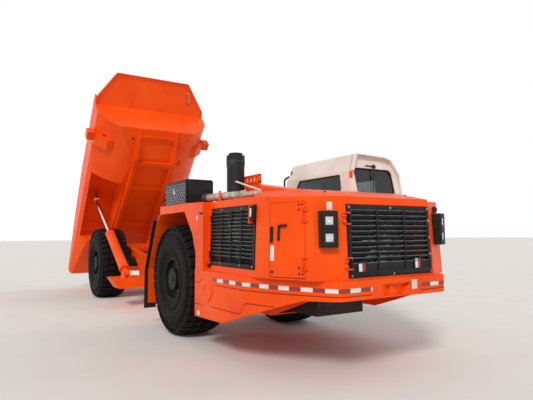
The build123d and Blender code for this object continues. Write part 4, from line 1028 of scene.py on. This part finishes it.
def dress_cab():
    """Window trims, visor, wiper, marker, grab rails, door handle and the dark lining inside."""
    middle_y = 1.075
    # In the screen's plane the opening runs from 2.37 to 2.86 m up
    stretch = math.hypot(1, SCREEN_LEAN)
    low, high = (2.42 - 2.62) * stretch, (2.86 - 2.62) * stretch
    screen = [(-0.425, low), (0.425, low), (0.425, high), (-0.425, high)]
    trim_window("screen", "front_unit", on_screen(middle_y, 2.62, -0.05), screen, 0.085, 0.05)
    side_out = Vector((0, -0.36, 0.05)).normalized()
    slope = math.hypot(0.36, 0.05) / 0.36
    side_frame = face((1.765, 0.5215 + 0.05 * 0.165 / 0.36 + 0.0495, 2.605), side_out)
    flat = [(1.01, 2.45), (1.20, 2.76), (2.33, 2.76), (2.42, 2.45)]
    trim_window("right_window", "front_unit", side_frame, [(-(x - 1.765), (z - 2.605) * slope) for x, z in flat], 0.07, 0.05)
    rear_frame_at = face((0.85, 1.05, 2.61), (-1, 0, 0))
    trim_window("rear_window", "front_unit", rear_frame_at, [(-0.33, -0.19), (0.33, -0.19), (0.33, 0.19), (-0.33, 0.19)],
                0.07, 0.05)

    def visor(bm):
        line = [(0.57, 2.80), (0.715, 3.09), (1.33, 3.07), (1.465, 3.03), (1.60, 2.79), (1.63, 2.42)]
        outer = [Vector((y, z)) for y, z in line]
        centre = Vector((1.085, 2.6))
        rows = []
        for point in outer:
            inward = (centre - point).normalized() * 0.02
            x_back = 2.67 - SCREEN_LEAN * (point.y - 2.40) - 0.02
            x_front = x_back + 0.02 + 0.085 * min(1.0, max(0.25, (point.y - 2.35) / 0.45))
            rows.append([bm.verts.new(at(x, p.x, p.y)) for x, p in ((x_back, point), (x_front, point),
                                                                   (x_front, point + inward), (x_back, point + inward))])
        for first, second in zip(rows, rows[1:]):
            for k in range(4):
                j = (k + 1) % 4
                bm.faces.new((first[k], first[j], second[j], second[k]))
        for row in (rows[0], rows[-1]):
            bm.faces.new(row)
        add_box(bm, at(2.44, 1.60, 2.33), at(2.50, 1.71, 2.35), bevel=0.004)
        add_box(bm, at(2.44, 1.60, 2.60), at(2.50, 1.71, 2.62), bevel=0.004)
        add_rod(bm, at(2.47, 1.70, 2.28), at(2.47, 1.70, 2.66), 0.02, 14)
    piece("cab_visor", "front_unit", CAB_WHITE, visor, 25)

    def wiper(bm):
        add_disc(bm, on_screen(1.10, 2.895), 0.034, 0.03, 20)
        add_plate(bm, on_screen(1.00, 2.90), 0.16, 0.018, 0.016, 0.003)
        start = on_screen(1.10, 2.895, 0.03).translation
        stop = on_screen(1.03, 2.62, 0.01).translation
        add_rod(bm, start, stop, 0.008, 8)
        add_rod(bm, on_screen(1.055, 2.76, 0.012).translation, on_screen(1.00, 2.46, 0.004).translation, 0.009, 6)
        add_box(bm, at(2.50, 1.60, 2.27), at(2.56, 1.65, 2.31))
    piece("wiper", "front_unit", PLASTIC, wiper)

    def marker(bm):
        add_box(bm, at(2.575, 0.548, 2.68), at(2.62, 0.585, 2.79), bevel=0.01)
    piece("cab_marker", "front_unit", ORANGE, marker)

    def handle(bm):
        add_tube(bm, [at(1.44, 1.595, 2.02), at(1.44, 1.67, 2.03), at(1.44, 1.67, 2.19), at(1.44, 1.61, 2.20)], 0.011)
    piece("cab_door_handle", "operator_door", PLASTIC, handle)

    def lining(bm):
        add_box(bm, at(0.852, 0.62, 2.22), at(0.862, 0.72, 2.98))
        add_box(bm, at(0.852, 1.38, 2.22), at(0.862, 1.50, 2.90))
        add_box(bm, at(0.852, 0.72, 2.80), at(0.862, 1.38, 2.98))
        add_box(bm, at(0.852, 0.62, 2.22), at(0.862, 1.50, 2.42))
        add_box(bm, at(0.87, 0.78, 3.005), at(2.40, 1.27, 3.022))
        add_box(bm, at(1.30, 0.575, 1.328), at(2.28, 1.45, 1.345))
        add_box(bm, at(0.90, 0.572, 2.26), at(2.30, 0.58, 2.43))
        add_box(bm, at(1.28, 0.572, 1.36), at(2.30, 0.58, 2.26))
    piece("cab_lining", "front_unit", PLASTIC, lining)

    def seat(bm):
        add_box(bm, at(1.45, 0.83, 1.70), at(1.95, 1.33, 1.84), bevel=0.05)
        lean_back = Matrix.Translation(at(1.44, 1.08, 2.22)) @ Matrix.Rotation(math.radians(-6.5), 4, "Y")
        add_box(bm, (-0.065, -0.23, -0.38), (0.065, 0.23, 0.38), lean_back, 0.055)
        add_box(bm, (0.04, -0.22, -0.36), (0.10, -0.14, 0.25), lean_back, 0.03)
        add_box(bm, (0.04, 0.14, -0.36), (0.10, 0.22, 0.25), lean_back, 0.03)
    piece("operator_seat", "front_unit", CLOTH, seat, replaces=("seat",))

    def seat_base(bm):
        add_box(bm, at(1.55, 0.93, 1.33), at(1.85, 1.23, 1.70), bevel=0.02)
        for y in (0.79, 1.34):
            add_box(bm, at(1.50, y, 1.96), at(1.82, y + 0.05, 2.02), bevel=0.015)
            add_box(bm, at(1.46, y + 0.01, 1.80), at(1.52, y + 0.04, 1.98), bevel=0.005)
    piece("seat_base", "front_unit", PLASTIC, seat_base)

    def switches(bm):
        for y in (0.80, 0.86, 0.92, 0.98, 1.16, 1.22, 1.28):
            add_box(bm, at(2.395, y, 2.225), at(2.42, y + 0.03, 2.255), bevel=0.004)
        for y, r in ((1.04, 0.055), (1.20, 0.04), (0.92, 0.04)):
            add_disc(bm, face((2.40, y, 2.224), (-0.6, 0, 0.8), (1, 0, 0)), r, 0.02, 20)
    piece("dash_switches", "front_unit", GREY_STEEL, switches)


# Wheels
def dress_wheel(corner):
    """Wheel nuts, hub bolts, the lock ring and the valve."""
    low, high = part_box(f"rim_{corner}")
    out = 1 if high[1] > 1 else -1
    centre = (Vector(low) + Vector(high)) / 2
    face_y = high[1] if out > 0 else low[1]

    def spot(radius, angle, back):
        place = Vector((centre.x + radius * math.cos(angle), face_y - out * back, centre.z + radius * math.sin(angle)))
        turn = Matrix((Vector((-out, 0, 0)), Vector((0, out, 0)), Vector((0, 0, 1)))).transposed().to_4x4()
        return Matrix.Translation(place) @ turn

    def nuts(bm):
        for i in range(24):
            add_disc(bm, spot(0.30, 2 * math.pi * i / 24, 0.102), 0.017, 0.03, 6)
        for i in range(12):
            add_disc(bm, spot(0.155, 2 * math.pi * i / 12, 0.002), 0.011, 0.014, 6)
        for i in range(8):
            add_disc(bm, spot(0.085, 2 * math.pi * (i + 0.5) / 8, 0.002), 0.010, 0.012, 6)
    piece(f"wheel_nuts_{corner}", f"wheel_{corner}", GREY_STEEL, nuts)

    def rings(bm):
        place = Vector((centre.x, face_y, centre.z))
        for radius, back, width in ((0.383, 0.006, 0.018), (0.188, 0.004, 0.010), (0.125, 0.004, 0.008), (0.359, 0.06, 0.012)):
            y = -out * back
            add_turned(bm, [(y - 0.008, radius - width), (y + 0.008, radius - width), (y + 0.008, radius), (y - 0.008, radius)],
                       64, place, "Y")
        add_disc(bm, spot(0.0, 0.0, 0.0), 0.05, 0.018, 24)
        add_tube(bm, [place + Vector((0.325, -out * 0.12, 0)), place + Vector((0.34, -out * 0.02, 0)),
                      place + Vector((0.315, out * 0.012, 0.02))], 0.007, 8)
    piece(f"wheel_rings_{corner}", f"wheel_{corner}", BLACK, rings)

    def side_rings(bm):
        tyre_low, tyre_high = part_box(f"tyre_{corner}")
        tyre_y = tyre_high[1] if out > 0 else tyre_low[1]
        place = Vector((centre.x, tyre_y, centre.z))
        for radius, back in ((0.50, 0.018), (0.545, 0.012), (0.79, 0.012), (0.825, 0.018)):
            y = -out * back
            add_turned(bm, [(y - 0.01, radius - 0.007), (y + 0.01, radius - 0.004), (y + 0.01, radius + 0.004),
                            (y - 0.01, radius + 0.007)] if out > 0 else
                       [(y + 0.01, radius - 0.007), (y - 0.01, radius - 0.004), (y - 0.01, radius + 0.004),
                        (y + 0.01, radius + 0.007)], 96, place, "Y")
    piece(f"wall_rings_{corner}", f"wheel_{corner}", RUBBER, side_rings, 50)


def dress_wheels():
    for corner in WHEELS:
        dress_wheel(corner)


# Load box: the canopy rims' places are given with the box down and turned up with it, the other places with the box up
BOX_PIVOT = (-7.40, 1.20)
BOX_TIP_DEG = 50.0


def tipped(matrix_or_place):
    """A place or frame on the lowered box, brought up with the box."""
    pivot = at(BOX_PIVOT[0], 0.0, BOX_PIVOT[1])
    turn = (Matrix.Translation(pivot) @ Matrix.Rotation(math.radians(-BOX_TIP_DEG), 4, "Y") @ Matrix.Translation(-pivot))
    return turn @ matrix_or_place


def dress_box():
    """Rim bars, bosses, the thin handle and the hose bracket of the load box."""
    slope = (3.01 - 2.60) / (2.93 - 2.06)
    under = Vector((slope, 0, -1)).normalized()

    def canopy_spot(x, y, below):
        place = at(x, y, 2.60 + (x + 2.93) * slope) + under * below
        return tipped(place)

    def rims(bm):
        line = [(-2.915, -1.625), (-2.79, -1.625), (-2.075, -1.085), (-2.075, 1.085), (-2.79, 1.625), (-2.915, 1.625)]
        add_tube(bm, [canopy_spot(x, y, 0.012) for x, y in line], 0.016)
        inner = [(-2.90, -1.545), (-2.80, -1.545), (-2.15, -1.05), (-2.15, 1.05), (-2.80, 1.545), (-2.90, 1.545)]
        add_tube(bm, [canopy_spot(x, y, 0.006) for x, y in inner], 0.009)
    piece("canopy_rims", "box", ORANGE, rims, 60)

    def bosses(bm):
        for place, out in (((-5.434, -1.418, 4.600), (0.52, -0.73, -0.44)), ((-5.056, -0.703, 4.515), (0.88, 0.0, -0.47)),
                           ((-5.408, 1.322, 4.481), (0.57, 0.67, -0.48))):
            add_disc(bm, face(place, out), 0.03, 0.012, 16)
    piece("belly_bosses", "box", BLACK, bosses)

    def handle(bm):
        add_tube(bm, [at(-5.43, 1.02, 6.17), at(-5.34, 1.10, 6.15), at(-5.40, 1.13, 5.87), at(-5.52, 1.13, 5.84)], 0.013)
    piece("canopy_handle", "box", ZINC, handle)

    def brackets(bm):
        add_plate(bm, face((-5.454, 0.826, 3.971), (0.72, 0.33, -0.61)), 0.06, 0.16, 0.05, 0.008)
    piece("rail_bracket", "box", ORANGE, brackets)


# Cylinders and the rear frame
def dress_hoists():
    """Gland collars, port blocks and the steel oil line along each hoist barrel."""
    way = Vector((-0.858877, 0, 0.512181))
    for side, name in ((-1, "right"), (1, "left")):
        foot = at(-3.72, side * 1.23, 0.845)

        def collar(bm):
            add_rod(bm, foot + way * 1.80, foot + way * 1.93, 0.126, 36)
            add_rod(bm, foot + way * 0.16, foot + way * 0.24, 0.126, 36)
        piece(f"hoist_collars_{name}", f"hoist_cylinder_{name}", ORANGE, collar)

        def seal(bm):
            add_rod(bm, foot + way * 1.928, foot + way * 1.945, 0.085, 30)
        piece(f"hoist_seal_{name}", f"hoist_cylinder_{name}", STRIP, seal)

        def line(bm):
            up = Vector((0.512181, 0, 0.858877))
            lift = (up * 0.1 + Vector((0, -side, 0))).normalized()
            points = [foot + way * 0.30 + lift * 0.10, foot + way * 0.30 + lift * 0.15, foot + way * 1.70 + lift * 0.15,
                      foot + way * 1.70 + lift * 0.10]
            add_tube(bm, points, 0.014)
            for along in (0.30, 1.70):
                add_rod(bm, foot + way * along + lift * 0.09, foot + way * along + lift * 0.135, 0.03, 8)
            for along in (0.75, 1.25):
                add_rod(bm, foot + way * (along - 0.02) + lift * 0.14, foot + way * (along + 0.02) + lift * 0.14, 0.028, 8)
        piece(f"hoist_line_{name}", f"hoist_cylinder_{name}", BLACK, line)


def dress_rear_frame():
    """Steel pipes with clips along the rear frame, and bolts round the hoist feet."""
    def pipes(bm):
        for y in (-0.39, -0.34, -0.29, 0.31, 0.37):
            add_tube(bm, [at(-2.55, y, 1.0), at(-2.72, y, 1.17), at(-4.3, y, 1.19)], 0.016)
    piece("frame_pipes", "rear_unit", BLACK, pipes)

    def clips(bm):
        for x in (-2.86, -4.38):
            for y0, y1 in ((-0.42, -0.26), (0.28, 0.40)):
                add_box(bm, at(x - 0.02, y0, 1.148), at(x + 0.02, y1, 1.212), bevel=0.006)
    piece("pipe_clips", "rear_unit", ZINC, clips)

    def bolts(bm):
        for side in (-1, 1):
            for x in (-4.08, -3.63):
                for y in (0.72, 0.95, 1.52):
                    add_bolt(bm, face((x, side * y, 0.74), (0, 0, 1), (1, 0, 0)), 0.016)
    piece("outrigger_bolts", "rear_unit", ZINC, bolts)


fittings = (tape_skirt, paint_crease_shade, hook_recess, dress_front_grille, dress_side_grille, dress_side_door, dress_lamps,
            fix_blank_plates, raise_hood, dress_hood, dress_exhaust, mesh_guard, dress_cab, dress_wheels, dress_box, dress_hoists,
            dress_rear_frame)

# Light, floor and camera
CAMERA_PLACE = (8.30, -4.57, 1.81)
CAMERA_YAW, CAMERA_PITCH, CAMERA_ROLL = 31.89, 3.97, -0.42
FOCAL_SHARE = 476.7 / 533  # focal length as a share of the picture's width
SENSOR_MM = 36.0


def make_camera():
    yaw, pitch, roll = (math.radians(v) for v in (CAMERA_YAW, CAMERA_PITCH, CAMERA_ROLL))
    ahead = Vector((-math.cos(yaw) * math.cos(pitch), math.sin(yaw) * math.cos(pitch), math.sin(pitch)))
    right = ahead.cross(Vector((0, 0, 1))).normalized()
    up = right.cross(ahead)
    right, up = (math.cos(roll) * right + math.sin(roll) * up, -math.sin(roll) * right + math.cos(roll) * up)
    data = bpy.data.cameras.new("photo_camera")
    data.sensor_width = SENSOR_MM
    data.lens = FOCAL_SHARE * SENSOR_MM
    data.clip_end = 400
    camera = bpy.data.objects.new("photo_camera", data)
    matrix = Matrix((right, up, -ahead)).transposed().to_4x4()
    camera.matrix_world = Matrix.Translation(at(*CAMERA_PLACE)) @ matrix
    bpy.context.scene.collection.objects.link(camera)
    bpy.context.scene.camera = camera


SKY_LIGHT = 0.5
KEY_LIGHT = 1.7
FILL_LIGHT = 0.35


def make_sun(name, place, strength, soft_deg, colour="#FFFFFF"):
    """A far soft lamp that shines from a place towards the truck's middle."""
    data = bpy.data.lights.new(name, "SUN")
    data.energy = strength
    data.angle = math.radians(soft_deg)
    data.color = linear(colour)[:3]
    lamp = bpy.data.objects.new(name, data)
    lamp.rotation_euler = (-Vector(place)).to_track_quat("-Z", "Y").to_euler()
    bpy.context.scene.collection.objects.link(lamp)


def make_stage():
    material, tree, shader = new_material("studio_floor", Roughness=0.85)
    tree.links.new(shades(tree, mottle(tree, 900), [(0.3, "#E6E4E1"), (0.7, "#EAE8E5")]), shader.inputs["Base Color"])
    mesh = bpy.data.meshes.new("studio_floor")
    bm = bmesh.new()
    bmesh.ops.create_circle(bm, cap_ends=True, segments=64, radius=150.0)
    bm.to_mesh(mesh)
    bm.free()
    floor = bpy.data.objects.new("studio_floor", mesh)
    mesh.materials.append(material)
    bpy.context.scene.collection.objects.link(floor)
    world = bpy.data.worlds.new("studio")
    world.use_nodes = True
    tree = world.node_tree
    tree.nodes.clear()
    seen = add(tree, "ShaderNodeLightPath")
    sight = add(tree, "ShaderNodeMath", {"operation": "MAXIMUM"},
                {0: seen.outputs["Is Camera Ray"], 1: seen.outputs["Is Glossy Ray"]})
    sight = add(tree, "ShaderNodeMath", {"operation": "MAXIMUM"},
                {0: sight.outputs[0], 1: seen.outputs["Is Transmission Ray"]})
    strength = levels(tree, sight.outputs[0], 0.0, 1.0, SKY_LIGHT, 1.0)
    sky = add(tree, "ShaderNodeBackground", {"Color": linear("#FFFFFF")}, {"Strength": strength})
    add(tree, "ShaderNodeOutputWorld", links={"Surface": sky.outputs[0]})
    bpy.context.scene.world = world
    make_sun("key", (8.0, -8.5, 9.0), KEY_LIGHT, 14.0, "#FFF9F2")
    make_sun("fill", (3.0, 9.0, 7.0), FILL_LIGHT, 40.0)


for fit in fittings:
    fit()
finish_nodes()
for wheel_corner in WHEELS:
    build_tyre(wheel_corner)
make_stage()
make_camera()
bpy.context.scene.view_settings.view_transform = "Standard"


def corners(box):
    return [[round(v, 5) for v in corner] for corner in box]
